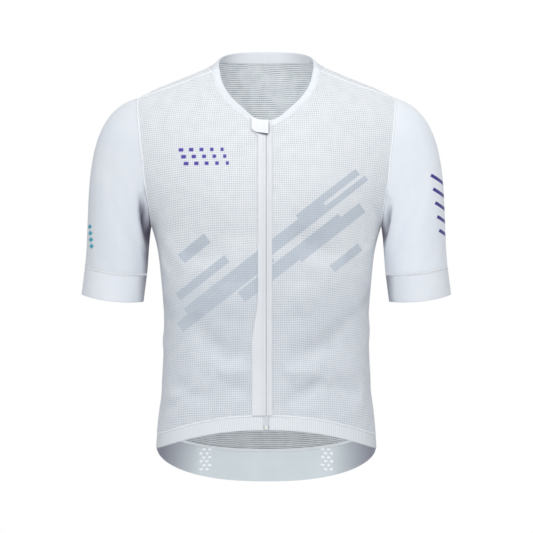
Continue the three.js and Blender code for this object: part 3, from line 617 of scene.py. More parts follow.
# The back
# One panel of the same mesh knit from side seam to side seam, going up over the shoulders to the
# shoulder seams and to the neckband. Its lower edge is sewn to the elastic band.
SHOULDER_OVER = np.array([
    (83, -20, -12.5, -1.04, -1, -0.41),
    (104, -22, -20.5, -0.85, -1.07, -0.43),
    (130, -22, -31, -1.12, -0.93, -0.36),
    (162, -20, -42, -0.46, -0.89, -0.56),
    (184, -16, -49.5, -0.03, -0.83, -0.55),
    (199, -12, -56, -0.06, -0.85, -0.52),
])
BACK_NECK = np.array([
    (0, 64, 9.5, 0, -0.42, 0.91),
    (30, 60.5, 9.5, 0, -0.48, 0.88),
    (57, 49, 9, 0.2, -0.7, 0.6),
    (74, 32, 8, -0.13, -0.62, 0.54),
    (82, 6, 1, -0.33, -0.77, -0.07),
    (83, -20, -12.5, -1.04, -1, -0.41),
])
BACK = dict(
    start=lambda z: np.pi + 0 * z,
    end=lambda z: edge_angle(62.0, z),
    band=lambda angle: 42 + 8 * np.maximum(-np.cos(angle), 0),
    neck=BACK_NECK, neck_columns=6, shoulder=SHOULDER_OVER, reach=(0.42, 0.3),
)


def across_back(point_of, half_columns):
    """A grid from the wearer's left to the right: one half, and its mirror image past the middle."""
    half = point_of(steps(0, 1, half_columns)[None, :])
    return np.concatenate([half[:, :0:-1], mirrored(half)], 1)


back_grid = across_back(lambda share: panel_point(BACK, share, row), 84)
from_edge = 1 - np.abs(steps(-1, 1, 168))[None, :]
keep_back = (1 - above * (1 - near_edge(from_edge, 0.12))) * near_edge((PANEL_ROWS - row) / 3, 1)
keep_back = keep_back * low_edge
back_shaped = creased(back_grid, keep_back)
piece = thicken(surface("back_panel", back_shaped, knit_map(back_shaped)), MESH_CLOTH)
dressed(piece, back_knit, "mesh_knit", "back", inside=inner_knit)

# The sleeves
# Each sleeve is one piece of smooth stretch warp knit, closed by a seam under the arm and sewn into
# the armhole. It carries a small printed mark on its outer side.
SLEEVE_CLOTH, SLEEVE_ROWS = 0.7, 11
CUFF_OUTER, CUFF_INNER = np.array([285.5, -4, -355]), np.array([190, -4, -367])
CUFF_DEPTH, CUFF_BAND, CUFF_DIP = 53.0, 42.0, 4.0
ARM_AXIS = np.array([0.125, 0, -0.992]) / math.hypot(0.125, 0.992)
ARMHOLE_HALF = ARMPIT_ROWS + CHEST_ROWS


def armhole_point(column):
    """The panels' outer edge, from the shoulder seam down the front and up the back again."""
    down = panel_point(FRONT, np.array(1.0), PANEL_ROWS - np.minimum(column, ARMHOLE_HALF))
    up = panel_point(BACK, np.array(1.0), PANEL_ROWS - np.minimum(2 * ARMHOLE_HALF - column, ARMHOLE_HALF))
    return np.where((column <= ARMHOLE_HALF)[..., None], down, up)


round_arm = steps(0, 2 * ARMHOLE_HALF, 480)
arm_lengths = np.concatenate([[0], np.linalg.norm(np.diff(armhole_point(round_arm), axis=0), axis=1).cumsum()])
half_length = np.interp(ARMHOLE_HALF, round_arm, arm_lengths)
arm_turns = np.pi * np.where(
    arm_lengths <= half_length,
    arm_lengths / half_length,
    1 + (arm_lengths - half_length) / (arm_lengths[-1] - half_length),
)


def cuff_ring(turn, raised):
    """An oval seen along the arm, a little lower in front and behind, raised along the arm."""
    middle, across = (CUFF_OUTER + CUFF_INNER) / 2, (CUFF_OUTER - CUFF_INNER) / 2
    lean = np.stack([0 * turn, -CUFF_DEPTH * np.sin(turn), -CUFF_DIP * np.sin(turn) ** 2], -1)
    return middle + across * np.cos(turn)[..., None] + lean - ARM_AXIS * np.asarray(raised)[..., None]


def sleeve_point(turn, share):
    """Each lengthwise line is one cubic from the armhole, out over the shoulder, to the cuff."""
    turn, share = np.broadcast_arrays(turn, share)
    start = armhole_point(np.interp(turn, arm_turns, round_arm))
    end = cuff_ring(turn, CUFF_BAND + 0 * turn)
    c, c2 = np.cos(turn), np.cos(2 * turn)
    leave = np.stack([0.65 + 0.4 * c - 0.08 * c2, 0.1 * np.sin(turn), -0.65 + 0.37 * c + 0.03 * c2], -1)
    leave = leave / np.linalg.norm(leave, axis=-1, keepdims=True)
    chord = np.linalg.norm(end - start, axis=-1, keepdims=True)
    return hermite(start, leave * 1.07 * chord, end, ARM_AXIS * 0.93 * chord, share[..., None])


# Creases of a sleeve: start and end as degrees round the arm, from the shoulder seam to the front,
# and as a share of the way down; then bend, half width and height as for the trunk.
SLEEVE_CREASES = {
    "left": np.array([
        (122, 0.08, 178, 0.18, 0.02, 5.5, -7.5),
        (128, 0.13, 178, 0.28, 0.02, 7, -4.5),
        (112, 0.02, 170, 0.10, 0.02, 5, 2.0),
        (150, 0.30, 182, 0.38, 0.00, 7, -1.1),
        (148, 0.50, 176, 0.56, 0.00, 8, 0.8),
        (146, 0.68, 172, 0.72, 0.00, 8, -0.7),
        (40, 0.30, 82, 0.38, 0.03, 16, -1.2),
        (64, 0.58, 118, 0.70, 0.02, 15, 1.2),
        (206, 0.18, 262, 0.34, 0.03, 9, -2.6),
        (212, 0.40, 264, 0.50, 0.03, 9, 2.0),
        (286, 0.40, 330, 0.56, 0.02, 13, -1.5),
    ]),
    "right": np.array([
        (116, 0.08, 176, 0.19, 0.02, 5.5, -8.5),
        (124, 0.13, 178, 0.32, 0.02, 8, -6.0),
        (106, 0.01, 168, 0.10, 0.02, 5, 2.4),
        (146, 0.36, 178, 0.42, 0.00, 7, -1.0),
        (142, 0.47, 174, 0.53, 0.00, 7, 0.8),
        (140, 0.60, 172, 0.66, 0.00, 7, -0.9),
        (144, 0.78, 172, 0.82, 0.00, 8, 0.6),
        (34, 0.34, 80, 0.30, 0.03, 15, -1.3),
        (70, 0.62, 112, 0.78, 0.02, 14, 1.0),
        (204, 0.16, 256, 0.30, 0.03, 9, -2.8),
        (210, 0.36, 258, 0.46, 0.03, 8, 2.0),
        (280, 0.46, 322, 0.60, 0.02, 12, -1.4),
    ]),
}


# Smooth warp knit: fine white filament yarn with a slight sheen, too fine to show its stitches, so
# only a faint grain and soft level ripples are drawn. With a reach, its colour takes painted shade where
# other cloth closes it in. A painted glow, where given, is painted light that brightens it.
def warp_knit(name, prints_and_shades=(), tint="eef2f7", shade="e2e8f0", painted_glow=0.0, reach=0.05, low=0.2, high=0.8):
    material, tree = new_material(name)
    cloth = node(tree, "UVMap", uv_map="cloth").outputs[0]
    uv = node(tree, "SeparateXYZ", {0: cloth})
    level = sine_ridges(tree, uv.outputs["Y"], 0.0016)
    upright = sine_ridges(tree, uv.outputs["X"], 0.0016)
    weft = node(tree, "Math", {0: level, 1: upright}, operation="MULTIPLY").outputs[0]
    cloud = node(tree, "TexNoise", {"Vector": cloth, "Scale": 18.0, "Detail": 4.0}).outputs[0]
    fleck = node(tree, "TexNoise", {"Vector": cloth, "Scale": 1400.0, "Detail": 2.0}).outputs[0]
    cloudy = node(tree, "MapRange", {0: cloud, 1: 0.35, 2: 0.7, 3: 0.0, 4: 0.6}).outputs[0]
    colour = mixed(tree, cloudy, srgb(tint), srgb(shade))
    grain = node(tree, "MapRange", {0: weft, 1: 0.0, 2: 1.0, 3: 0.12, 4: 0.0}).outputs[0]
    colour = mixed(tree, grain, colour, srgb("b9c2d0"))
    # Each mask lays a printed tone or a painted shade over the knit.
    for mask, print_and_shade_tone in prints_and_shades:
        colour = mixed(tree, mask(tree), colour, srgb(print_and_shade_tone))
    colour = deep_shade(tree, colour, reach, low, high) if reach else colour
    height = node(tree, "Math", {0: fleck, 1: 0.3, 2: weft}, operation="MULTIPLY_ADD").outputs[0]
    bump = node(tree, "Bump", {"Height": height, "Strength": 0.25, "Distance": 0.0002}).outputs[0]
    shader = node(tree, "BsdfPrincipled", {"Base Color": colour, "Normal": bump, "Emission Color": colour})
    for key, value in (("Roughness", 0.62), ("Specular IOR Level", 0.35), ("Sheen Weight", 0.3),
                       ("Sheen Roughness", 0.4), ("Subsurface Weight", 0.5),
                       ("Subsurface Radius", (1, 1, 1)), ("Subsurface Scale", 0.003),
                       ("Emission Strength", painted_glow)):
        shader.inputs[key].default_value = value
    node(tree, "OutputMaterial", {0: shader.outputs[0]})
    return material


SLEEVE_BARS = [(263 + 3.2 * k, -180 - 21 * k, 14, 3.0) for k in range(5)]
TEAL_DOTS = [(-270.5 + 1.2 * k, -252 - 10 * k, 3.4, 3.4) for k in range(4)]


def in_front(tree, mask):
    """The mask without what lies behind the arm's middle."""
    y = node(tree, "SeparateXYZ", {0: node(tree, "TexCoord").outputs["Object"]}).outputs["Y"]
    near = node(tree, "MapRange", {0: y, 1: 0.004, 2: 0.0048, 3: 1.0, 4: 0.0}).outputs[0]
    return node(tree, "Math", {0: mask, 1: near}, operation="MULTIPLY").outputs[0]


def violet_bars(tree):
    return in_front(tree, slanted_bars(tree, SLEEVE_BARS, math.radians(-28), 0.0008))


def teal_dots(tree):
    return in_front(tree, slanted_bars(tree, TEAL_DOTS, math.radians(45), 0.0008))


# The wearer's left sleeve has a stronger painted glow than the right, painted light that makes it the brighter of the
# two. Each takes painted shade under the arm in its own measure.
sleeve_knit = {
    "left": warp_knit("warp knit with violet bars", [(violet_bars, "3d2f86")], painted_glow=0.08, reach=0.02, low=0.3, high=0.85),
    "right": warp_knit("warp knit with teal dots", [(teal_dots, "3aa7bb")], painted_glow=0.02, reach=0.032, low=0.4, high=0.95),
}
turns = steps(0, 2 * np.pi, 120)[None, :-1]
down_arm = steps(0, 1, SLEEVE_ROWS * FINE)[:, None]
for side, name in ((1, "left"), (-1, "right")):
    table = SLEEVE_CREASES[name]
    place = lambda degrees, share: sleeve_point(np.radians(degrees), share)
    grid = sleeve_point(turns, down_arm)
    keep = near_edge(down_arm, 0.06) * near_edge(1 - down_arm, 0.05)
    shaped = creased(grid, keep, True, table, crease_paths(table, place))
    if side < 0:
        shaped = mirrored(shaped)
    piece = surface(f"sleeve_cloth_{name}", shaped, turned=side < 0, round_columns=True)
    thicken(piece, SLEEVE_CLOTH)
    dressed(piece, sleeve_knit[name], "sleeve_knit", f"sleeve_{name}")

# The cuffs
# A wide smooth band of doubled stretch cloth at each sleeve's end, folded at its lower edge and
# sewn to the sleeve along its upper edge.
BAND_CLOTH = 1.5


def doubled(points, thickness, round_columns=False):
    """A folded band: its outer face, a half round over one edge, its inner face, and a half round
    over the other edge, all round on a ring. Open ends are closed on their middle line."""
    normal = grid_normals(points, round_columns)
    along = np.gradient(points, axis=0)
    along = along / np.linalg.norm(along, axis=-1, keepdims=True)
    half = thickness / 2
    middle = points - normal * half
    phi = np.radians([30, 60, 90, 120, 150])[:, None, None]
    top = middle[-1] + half * (normal[-1] * np.cos(phi) + along[-1] * np.sin(phi))
    bottom = middle[0] + half * (-normal[0] * np.cos(phi) - along[0] * np.sin(phi))
    ring = np.concatenate([points, top, (points - normal * thickness)[::-1], bottom], 0)
    if round_columns:
        return ring
    spine = np.concatenate([middle, middle[-1:].repeat(5, 0), middle[::-1], middle[:1].repeat(5, 0)], 0)
    return np.concatenate([spine[:, :1], ring, spine[:, -1:]], 1)


band_knit = warp_knit("doubled stretch binding", tint="f1f4f8", shade="e8edf3")
for side, name in ((1, "left"), (-1, "right")):
    raised = CUFF_BAND * (1 - steps(0, 1, 14))[:, None]
    grid = cuff_ring(np.broadcast_to(turns, (15, 120)), np.broadcast_to(raised, (15, 120)))
    ring = doubled(grid, BAND_CLOTH, True)
    piece = surface(
        f"cuff_band_{name}", ring if side > 0 else mirrored(ring),
        turned=side < 0, round_columns=True, round_rows=True,
    )
    dressed(piece, band_knit, "band_knit", f"cuff_{name}")

# The fronts' hem bands
# The lower edge of each front is a turned-up band of the sleeves' smooth cloth, ribbed lengthwise,
# sewn on along its upper edge.


# Ribbed binding: the doubled band's upright ribs show as fine soft lines, about 3 mm apart. With a reach,
# its colour takes painted shade where other cloth closes it in. A painted glow, where given, is painted
# light that brightens it.
def ribbed_knit(name, pitch, tint, shade, painted_glow=0.0, reach=0.05):
    material, tree = new_material(name)
    cloth = node(tree, "UVMap", uv_map="cloth").outputs[0]
    uv = node(tree, "SeparateXYZ", {0: cloth})
    rib = sine_ridges(tree, uv.outputs["X"], pitch)
    cloud = node(tree, "TexNoise", {"Vector": cloth, "Scale": 30.0, "Detail": 3.0}).outputs[0]
    fleck = node(tree, "TexNoise", {"Vector": cloth, "Scale": 1400.0, "Detail": 2.0}).outputs[0]
    colour = mixed(tree, rib, srgb(shade), srgb(tint))
    cloudy = node(tree, "MapRange", {0: cloud, 1: 0.4, 2: 0.7, 3: 0.0, 4: 0.3}).outputs[0]
    colour = mixed(tree, cloudy, colour, srgb("dfe4ea"))
    if reach:
        colour = deep_shade(tree, colour, reach)
    height = node(tree, "Math", {0: fleck, 1: 0.3, 2: rib}, operation="MULTIPLY_ADD").outputs[0]
    bump = node(tree, "Bump", {"Height": height, "Strength": 0.4, "Distance": 0.0004}).outputs[0]
    shader = node(tree, "BsdfPrincipled", {"Base Color": colour, "Normal": bump, "Emission Color": colour})
    for key, value in (("Roughness", 0.7), ("Specular IOR Level", 0.3), ("Sheen Weight", 0.25),
                       ("Emission Strength", painted_glow)):
        shader.inputs[key].default_value = value
    node(tree, "OutputMaterial", {0: shader.outputs[0]})
    return material


hem_rib = ribbed_knit("ribbed stretch hem band", 0.0032, "f0f2f4", "dce1e5")


def band_grid(panel, share, up):
    """The band below a panel: its rows climb from the lower edge to the panel at every angle."""
    start = panel["start"](np.array(HEM_SIDE_Z))
    angle = start + share * (SIDE_SEAM - start)
    z = hem_height(angle) + panel["band"](angle) * up
    share, z = np.broadcast_arrays(share, z)
    return flat_row(panel, share, z)


band_rows = steps(0, 1, 10)[:, None]
front_band = band_grid(FRONT, share, band_rows)
for side, name in ((1, "left"), (-1, "right")):
    grid = front_band if side > 0 else mirrored(front_band)[:, ::-1]
    shaped = creased(grid, 0.5 + 0 * band_rows)
    piece = surface(f"hem_band_{name}", doubled(shaped, BAND_CLOTH), round_rows=True)
    dressed(piece, hem_rib, "band_knit", f"hem_front_{name}")

# The back's elastic band
# A wide band of smooth elastic that keeps the tail in place. Its inner face carries clusters of
# small silicone dots, printed on in staggered rows.
gripper_knit = warp_knit("wide smooth elastic", tint="e6ebf0", shade="d9dfe6")


def painted_shade_at_sides(tree):
    """Painted shade: 0 in the middle of the back and 1 at its sides, where the fronts keep the light away."""
    x = node(tree, "SeparateXYZ", {0: node(tree, "TexCoord").outputs["Object"]}).outputs["X"]
    away = node(tree, "Math", {0: x}, operation="ABSOLUTE").outputs[0]
    return node(tree, "MapRange", {0: away, 1: 0.105, 2: 0.165, 3: 0.0, 4: 0.75}).outputs[0]


# The elastic's inner face takes painted shade towards its ends. It and its bound seam also have a painted glow, painted
# light that brightens them.
gripper_inside = warp_knit(
    "wide smooth elastic, inner face", [(painted_shade_at_sides, "6b647a")],
    tint="e3eaea", shade="dbe2e3", painted_glow=0.2,
)
gripper_bind = warp_knit("bound elastic seam", tint="eef2f2", shade="e6ebec", painted_glow=0.2)
gripper_rows = steps(0, 1, 16)[:, None]
gripper_grid = across_back(lambda share: band_grid(BACK, share, gripper_rows), 84)
gripper_shaped = creased(gripper_grid, 0.5 + 0 * gripper_rows)
piece = surface("elastic_band", doubled(gripper_shaped, BAND_CLOTH), round_rows=True, inner_row=20)
dressed(piece, gripper_knit, "elastic_band", "gripper_band", inside=gripper_inside)


def many(name, centres, forward, outward, shape):
    """Copies of one small closed shape, given as a grid in its own forward, sideways and outward
    axes in mm, set at each centre. Its rows close on themselves and its ends are points."""
    count = len(centres)
    sideways = np.cross(outward, forward)
    axes = np.stack([forward, sideways, outward], 1)
    rows, columns = shape.shape[:2]
    placed = centres[:, None] + np.einsum("pk,nkj->npj", shape.reshape(-1, 3), axes)
    i, j = np.meshgrid(np.arange(rows - 1), np.arange(columns), indexing="ij")
    corners = [(0, 0), (0, 1), (1, 1), (1, 0)]
    one = np.stack([(i + a) * columns + (j + b) % columns for a, b in corners], -1).reshape(-1, 4)
    faces = (one[None] + (np.arange(count) * rows * columns)[:, None, None]).reshape(-1, 4)
    mesh = bpy.data.meshes.new(name)
    mesh.from_pydata((placed.reshape(-1, 3) / 1000).tolist(), [], faces.tolist())
    mesh.polygons.foreach_set("use_smooth", np.ones(len(mesh.polygons), dtype=bool))
    made = bpy.data.objects.new(name, mesh)
    bpy.context.scene.collection.objects.link(made)
    return made


def bead(length, width, height, rows=5, columns=8):
    """A long bead: rings about its forward axis, each as wide as the half circle there is high."""
    a = np.linspace(0, np.pi, rows)[:, None]
    b = np.linspace(0, 2 * np.pi, columns, endpoint=False)[None, :]
    ring = np.maximum(np.sin(a), 0.02)
    return np.stack([
        -length / 2 * np.cos(a) + 0 * b,
        width / 2 * ring * np.cos(b),
        height / 2 * ring * np.sin(b),
    ], -1)


def seam_ridge(name, path, outward, width, height, closed=False):
    """A ridge of oval section along a path: half width and height follow a circle's two parts."""
    if closed:
        along = np.roll(path, -1, 0) - np.roll(path, 1, 0)
    else:
        along = np.gradient(path, axis=0)
    along = along / np.linalg.norm(along, axis=1, keepdims=True)
    beside = np.cross(along, outward)
    beside = beside / np.linalg.norm(beside, axis=1, keepdims=True)
    phi = np.linspace(0, 2 * np.pi, 10, endpoint=False)[:, None, None]
    ring = path + beside * np.cos(phi) * width / 2 + outward * np.sin(phi) * height
    if not closed:
        ring = np.concatenate([path[:1] + 0 * ring[:, :1], ring, path[-1:] + 0 * ring[:, :1]], 1)
    return surface(name, ring, round_rows=True, round_columns=closed)


def stitch_row(path, outward, pitch, aside, closed=False):
    """Places at an even pitch along a path, moved aside: centres, courses and ways outwards."""
    if closed:
        path, outward = np.concatenate([path, path[:1]]), np.concatenate([outward, outward[:1]])
    run = np.concatenate([[0], np.linalg.norm(np.diff(path, axis=0), axis=1).cumsum()])
    at = np.arange(pitch / 2, run[-1], pitch)
    spot = lambda table, where: np.stack([np.interp(where, run, table[:, k]) for k in range(3)], -1)
    unit = lambda v: v / np.linalg.norm(v, axis=1, keepdims=True)
    out = unit(spot(outward, at))
    along = unit(spot(path, np.minimum(at + 1, run[-1])) - spot(path, np.maximum(at - 1, 0)))
    out = unit(out - along * (out * along).sum(1, keepdims=True))
    return spot(path, at) + np.cross(along, out) * aside, along, out


# Silicone: clear rubber, printed on in drops, milky white with a soft gloss. The drops have a white painted
# glow, painted light that makes them stand out bright.
def silicone():
    material, tree = new_material("printed silicone")
    place = node(tree, "TexCoord").outputs["Object"]
    cloud = node(tree, "TexNoise", {"Vector": place, "Scale": 300.0}).outputs[0]
    colour = mixed(tree, cloud, srgb("f7f9fb"), srgb("e9eef2"))
    shader = node(tree, "BsdfPrincipled", {"Base Color": colour})
    shader.inputs["Emission Color"].default_value = (1, 1, 1, 1)
    for key, value in (("Roughness", 0.3), ("Specular IOR Level", 0.5), ("Coat Weight", 0.2),
                       ("Emission Strength", 0.35)):
        shader.inputs[key].default_value = value
    node(tree, "OutputMaterial", {0: shader.outputs[0]})
    return material


DOT_ROWS, DOT_COLUMNS, DOT_PITCH_X, DOT_PITCH_Z = 6, 2, 9.4, 6.4
dots = np.array([
    (side * (98 + DOT_PITCH_X * (column - 0.75 + 0.5 * (line % 2))), -606 - DOT_PITCH_Z * line)
    for side in (-1, 1) for line in range(DOT_ROWS) for column in range(DOT_COLUMNS)
])
dot_angle = np.pi - angle_at_x(np.abs(dots[:, 0]), dots[:, 1])
dot_place = trunk_point(dot_angle, dots[:, 1])
beside = trunk_point(dot_angle + 0.01, dots[:, 1]) - dot_place
over = trunk_point(dot_angle, dots[:, 1] + 1) - dot_place
inward = np.cross(beside, over)
inward = inward / np.linalg.norm(inward, axis=1, keepdims=True)
inward *= -np.sign(inward[:, 1:2])
level = beside / np.linalg.norm(beside, axis=1, keepdims=True)
dot_place = dot_place + inward * (BAND_CLOTH + 0.1)
flip = np.where(dots[:, :1] < 0, [[-1, 1, 1]], [[1, 1, 1]])
piece = many("silicone_dots", dot_place * flip, level * flip, inward * flip, bead(5.8, 4.2, 1.1, 6, 10))
dressed(piece, silicone(), "elastic_band")

# A soft bound seam lies inside, where the elastic meets the mesh.
top = gripper_shaped[-1] - grid_normals(gripper_shaped)[-1] * (BAND_CLOTH + 0.2)
bound = seam_ridge("elastic_binding", top, -grid_normals(gripper_shaped)[-1], 5.4, 0.9)
dressed(bound, gripper_bind, "elastic_band")

# The neckband
# A narrow binding of ribbed stretch knit round the neck, taller behind, where its inside shows. It
# ends at the zip on both sides.
NECK_TOP_FRONT = np.array([
    (3, -72, -94), (17.5, -68.5, -88.5), (34, -61, -74.5),
    (53.5, -46.5, -55), (66.5, -32.5, -34), (73.5, -15, -6),
])
NECK_TOP_BACK = np.array([
    (0, 58, 27), (28, 54.5, 26), (50, 43.5, 23), (66, 27, 17), (73.5, 5, 8), (73.5, -15, -6),
])


def neckband_point(place, up):
    """From the centre back, 0, past the shoulder seam, 6, to the zip, 13: straight from the neck
    seam to the band's upper edge."""
    behind = (place <= 6)[..., None]
    back_t, front_t = place / 6, 1 - (place - 6) / 7
    low = np.where(behind, seam_line(BACK_NECK, back_t), seam_line(FRONT_NECK, front_t))
    high = np.where(behind, seam_line(NECK_TOP_BACK, back_t), seam_line(NECK_TOP_FRONT, front_t))
    return low + (high - low) * up[..., None]


neck_half = neckband_point(*np.broadcast_arrays(steps(13, 0, 104)[None, :], steps(0, 1, 8)[:, None]))
neck_grid = np.concatenate([neck_half, mirrored(neck_half)[:, -2::-1]], 1)
neck_rib = ribbed_knit("ribbed neck binding", 0.0034, "f8fafc", "e4e9ee")
# The neckband's inner face has a painted glow, painted light that brightens it where it shows behind.
neck_inside = ribbed_knit("ribbed neck binding, inner face", 0.0034, "f3f5f6", "dde2e6", 0.15)
piece = surface("neck_binding", doubled(neck_grid, BAND_CLOTH), round_rows=True, inner_row=11)
dressed(piece, neck_rib, "band_knit", "neckband", inside=neck_inside)

# The zip's tapes
# Two woven tapes meet in the middle of the front. Each carries half of a nylon coil, sewn along
# its edge, and the two coils lock into each other.
zip_up = np.concatenate([
    band_grid(FRONT, np.array([[0.0]]), steps(0, 1, 20)[:, None])[:-1, 0],
    panel_point(FRONT, np.array([[0.0]]), steps(0, PANEL_ROWS, 400)[:, None])[:, 0],
    neckband_point(np.full(9, 13.0), steps(0, 1, 8))[1:],
])


def on_zip(z):
    """The zip's line at a height, its course up the zip and the way out of the garment there."""
    y = np.interp(z, zip_up[:, 2], zip_up[:, 1])
    slope = np.interp(z + 2, zip_up[:, 2], zip_up[:, 1]) - np.interp(z - 2, zip_up[:, 2], zip_up[:, 1])
    up = np.stack([0 * z, slope, 4 + 0 * z], -1)
    up = up / np.linalg.norm(up, axis=-1, keepdims=True)
    out = np.cross(np.broadcast_to([1.0, 0, 0], up.shape), up)
    return np.stack([0 * z, y, z], -1), up, out


# Woven polyester tape: light grey with a fine cross rib. Tape and coil have a slight painted glow, painted
# light that keeps the zip's line pale.
tape_weave = ribbed_knit("woven zip tape", 0.0012, "eceff2", "dfe3e8", 0.04, 0)
coil_nylon = warp_knit("pale nylon coil", tint="eceef4", shade="e2e5ec", painted_glow=0.04, reach=0)
for side, name in ((1, "left"), (-1, "right")):
    tape = zip_up[:, None] * np.array([0, 1, 1]) + side * np.linspace(0.2, 2.9, 4)[None, :, None] * np.array([1, 0, 0])
    tape = tape if side > 0 else tape[:, ::-1]
    tape_z = np.linspace(zip_up[0, 2] + 6.5, -111, 365) + (0 if side > 0 else 0.66)
    middle, up, out = on_zip(tape_z)
    lean = up * 0.25 + np.array([side, 0, 0])
    lean = lean / np.linalg.norm(lean, axis=1, keepdims=True)
    coil = many(f"zip_coil_{name}", middle + np.array([0.75 * side, 0, 0]) + out * 0.15, lean, out, bead(3.0, 0.95, 1.0, 4, 6))
    dressed(coil, coil_nylon, "zip_tape")
    piece = thicken(surface(f"zip_tape_cloth_{name}", tape), 0.8)
    dressed(piece, tape_weave, "zip_tape", f"zip_tape_{name}")

# The plackets
# A strip of the smooth sleeve cloth is laid over each tape's edge and stitched down beside the coil.
# The wearer's left one is narrow all along; the right one grows wider below and under the flap. A
# white piped fold along each strip's inner edge nearly closes over the coil.
PLACKET_IN, PLACKET_NARROW, PLACKET_SLIM, PLACKET_WIDE = 3.4, 8.0, 12.0, 21.0
PLACKET_WIDENS, PLACKET_FLARES = (-355, -430), (-121, -113)
PLACKET_CLOTH, PLACKET_GAP, PIPING = 0.8, 0.6, 3.1
placket_rows = steps(0, PANEL_ROWS, 312)[:, None]


def front_at_x(x, rows):
    """The front's outer face at distances from the zip, between two fine columns of each row."""
    fine = panel_point(FRONT, steps(0, 0.35, 70)[None, :], rows)
    return np.stack([
        np.stack([np.interp(wanted, line[:, 0], line[:, k]) for k in range(3)], -1)
        for wanted, line in zip(x, fine)
    ])


def smooth_share(value, first, last):
    """0 before the first value, 1 after the last, and a soft step between them."""
    t = np.clip((value - first) / (last - first), 0, 1)
    return t * t * (3 - 2 * t)


# The placket cloth has a slight painted glow. It and the piping take painted shade where other cloth closes them in.
placket_smooth = warp_knit("smooth zip placket", tint="f8fafd", shade="edf1f6", painted_glow=0.03)
piping_cloth = warp_knit("white placket piping", tint="fdfdfe", shade="f6f8fa")
placket_z = panel_point(FRONT, np.array([[0.0]]), placket_rows)[:, 0, 2]
grown = np.maximum(smooth_share(placket_z, *PLACKET_WIDENS), smooth_share(placket_z, *PLACKET_FLARES))
for side, name, slim, wide in ((1, "left", PLACKET_NARROW, PLACKET_NARROW), (-1, "right", PLACKET_SLIM, PLACKET_WIDE)):
    reach = slim + (wide - slim) * grown
    grid = front_at_x(PLACKET_IN + (reach[:, None] - PLACKET_IN) * steps(0, 1, 8), placket_rows)
    out = grid_normals(grid)
    grid = grid + out * (PLACKET_GAP + PLACKET_CLOTH)
    ring = doubled(grid.transpose(1, 0, 2)[::-1], PLACKET_CLOTH)
    piece = surface(f"placket_strip_{name}", ring if side > 0 else mirrored(ring), turned=side < 0, round_rows=True)
    flip = np.array([side, 1, 1])
    fold = grid[:, 0] - out[:, 0] * PLACKET_CLOTH / 2 - np.array([PIPING / 2 - 0.3, 0, 0])
    piping = seam_ridge(f"placket_piping_{name}", fold * flip, out[:, 0] * flip, PIPING, 0.7)
    dressed(piping, piping_cloth, "sleeve_knit")
    dressed(piece, placket_smooth, "sleeve_knit", f"placket_{name}")
    for place, label in ((-1, "outer"), (1, "inner")):
        centres, along, outs = stitch_row(grid[:, place], out[:, place], 2.4, 0.7 if place < 0 else 0.2)
        thread = many(f"placket_stitches_{label}_{name}", centres * flip, along * flip, outs * flip, bead(1.7, 0.5, 0.4, 4, 6))
        dressed(thread, piping_cloth, "band_knit")

# The zip's hard parts
# The slider, its pull tab and the box that joins the zip's lower ends. The pull tab hangs
# between the front and the flap that covers it.
SLIDER_Z = -104.0


# Painted zinc: cast, then enamelled in grey, a little worn to lighter grey on its edges
def painted_zinc(name, tint, shade, roughness):
    material, tree = new_material(name)
    place = node(tree, "TexCoord").outputs["Object"]
    speck = node(tree, "TexNoise", {"Vector": place, "Scale": 1500.0, "Detail": 3.0}).outputs[0]
    edge = node(tree, "NewGeometry").outputs["Pointiness"]
    worn = node(tree, "MapRange", {0: edge, 1: 0.52, 2: 0.6, 3: 0.0, 4: 0.6}).outputs[0]
    colour = mixed(tree, speck, srgb(tint), srgb(shade))
    colour = mixed(tree, worn, colour, srgb("c9ced4"))
    bump = node(tree, "Bump", {"Height": speck, "Strength": 0.1, "Distance": 0.0001}).outputs[0]
    shader = node(tree, "BsdfPrincipled", {"Base Color": colour, "Normal": bump})
    shader.inputs["Metallic"].default_value = 0.6
    shader.inputs["Roughness"].default_value = roughness
    node(tree, "OutputMaterial", {0: shader.outputs[0]})
    return material


# Moulded polyacetal: the box is injected onto the tape, white with a satin face
def moulded_white():
    material, tree = new_material("moulded white polyacetal")
    place = node(tree, "TexCoord").outputs["Object"]
    speck = node(tree, "TexNoise", {"Vector": place, "Scale": 900.0}).outputs[0]
    colour = mixed(tree, speck, srgb("f1f3ea"), srgb("e4e8dc"))
    bump = node(tree, "Bump", {"Height": speck, "Strength": 0.08, "Distance": 0.0001}).outputs[0]
    shader = node(tree, "BsdfPrincipled", {"Base Color": colour, "Normal": bump})
    shader.inputs["Roughness"].default_value = 0.35
    node(tree, "OutputMaterial", {0: shader.outputs[0]})
    return material


def finish_of(cad_node, material):
    """Gives a CAD node that stays its material in every slot."""
    target = bpy.data.objects[cad_node]
    target.data.materials.clear()
    target.data.materials.append(material)


finish_of("zip_slider", painted_zinc("grey painted zinc", "5d6168", "54585f", 0.45))
finish_of("zip_pull", painted_zinc("dark painted zinc", "4b4f56", "41454c", 0.5))
finish_of("zip_box", moulded_white())

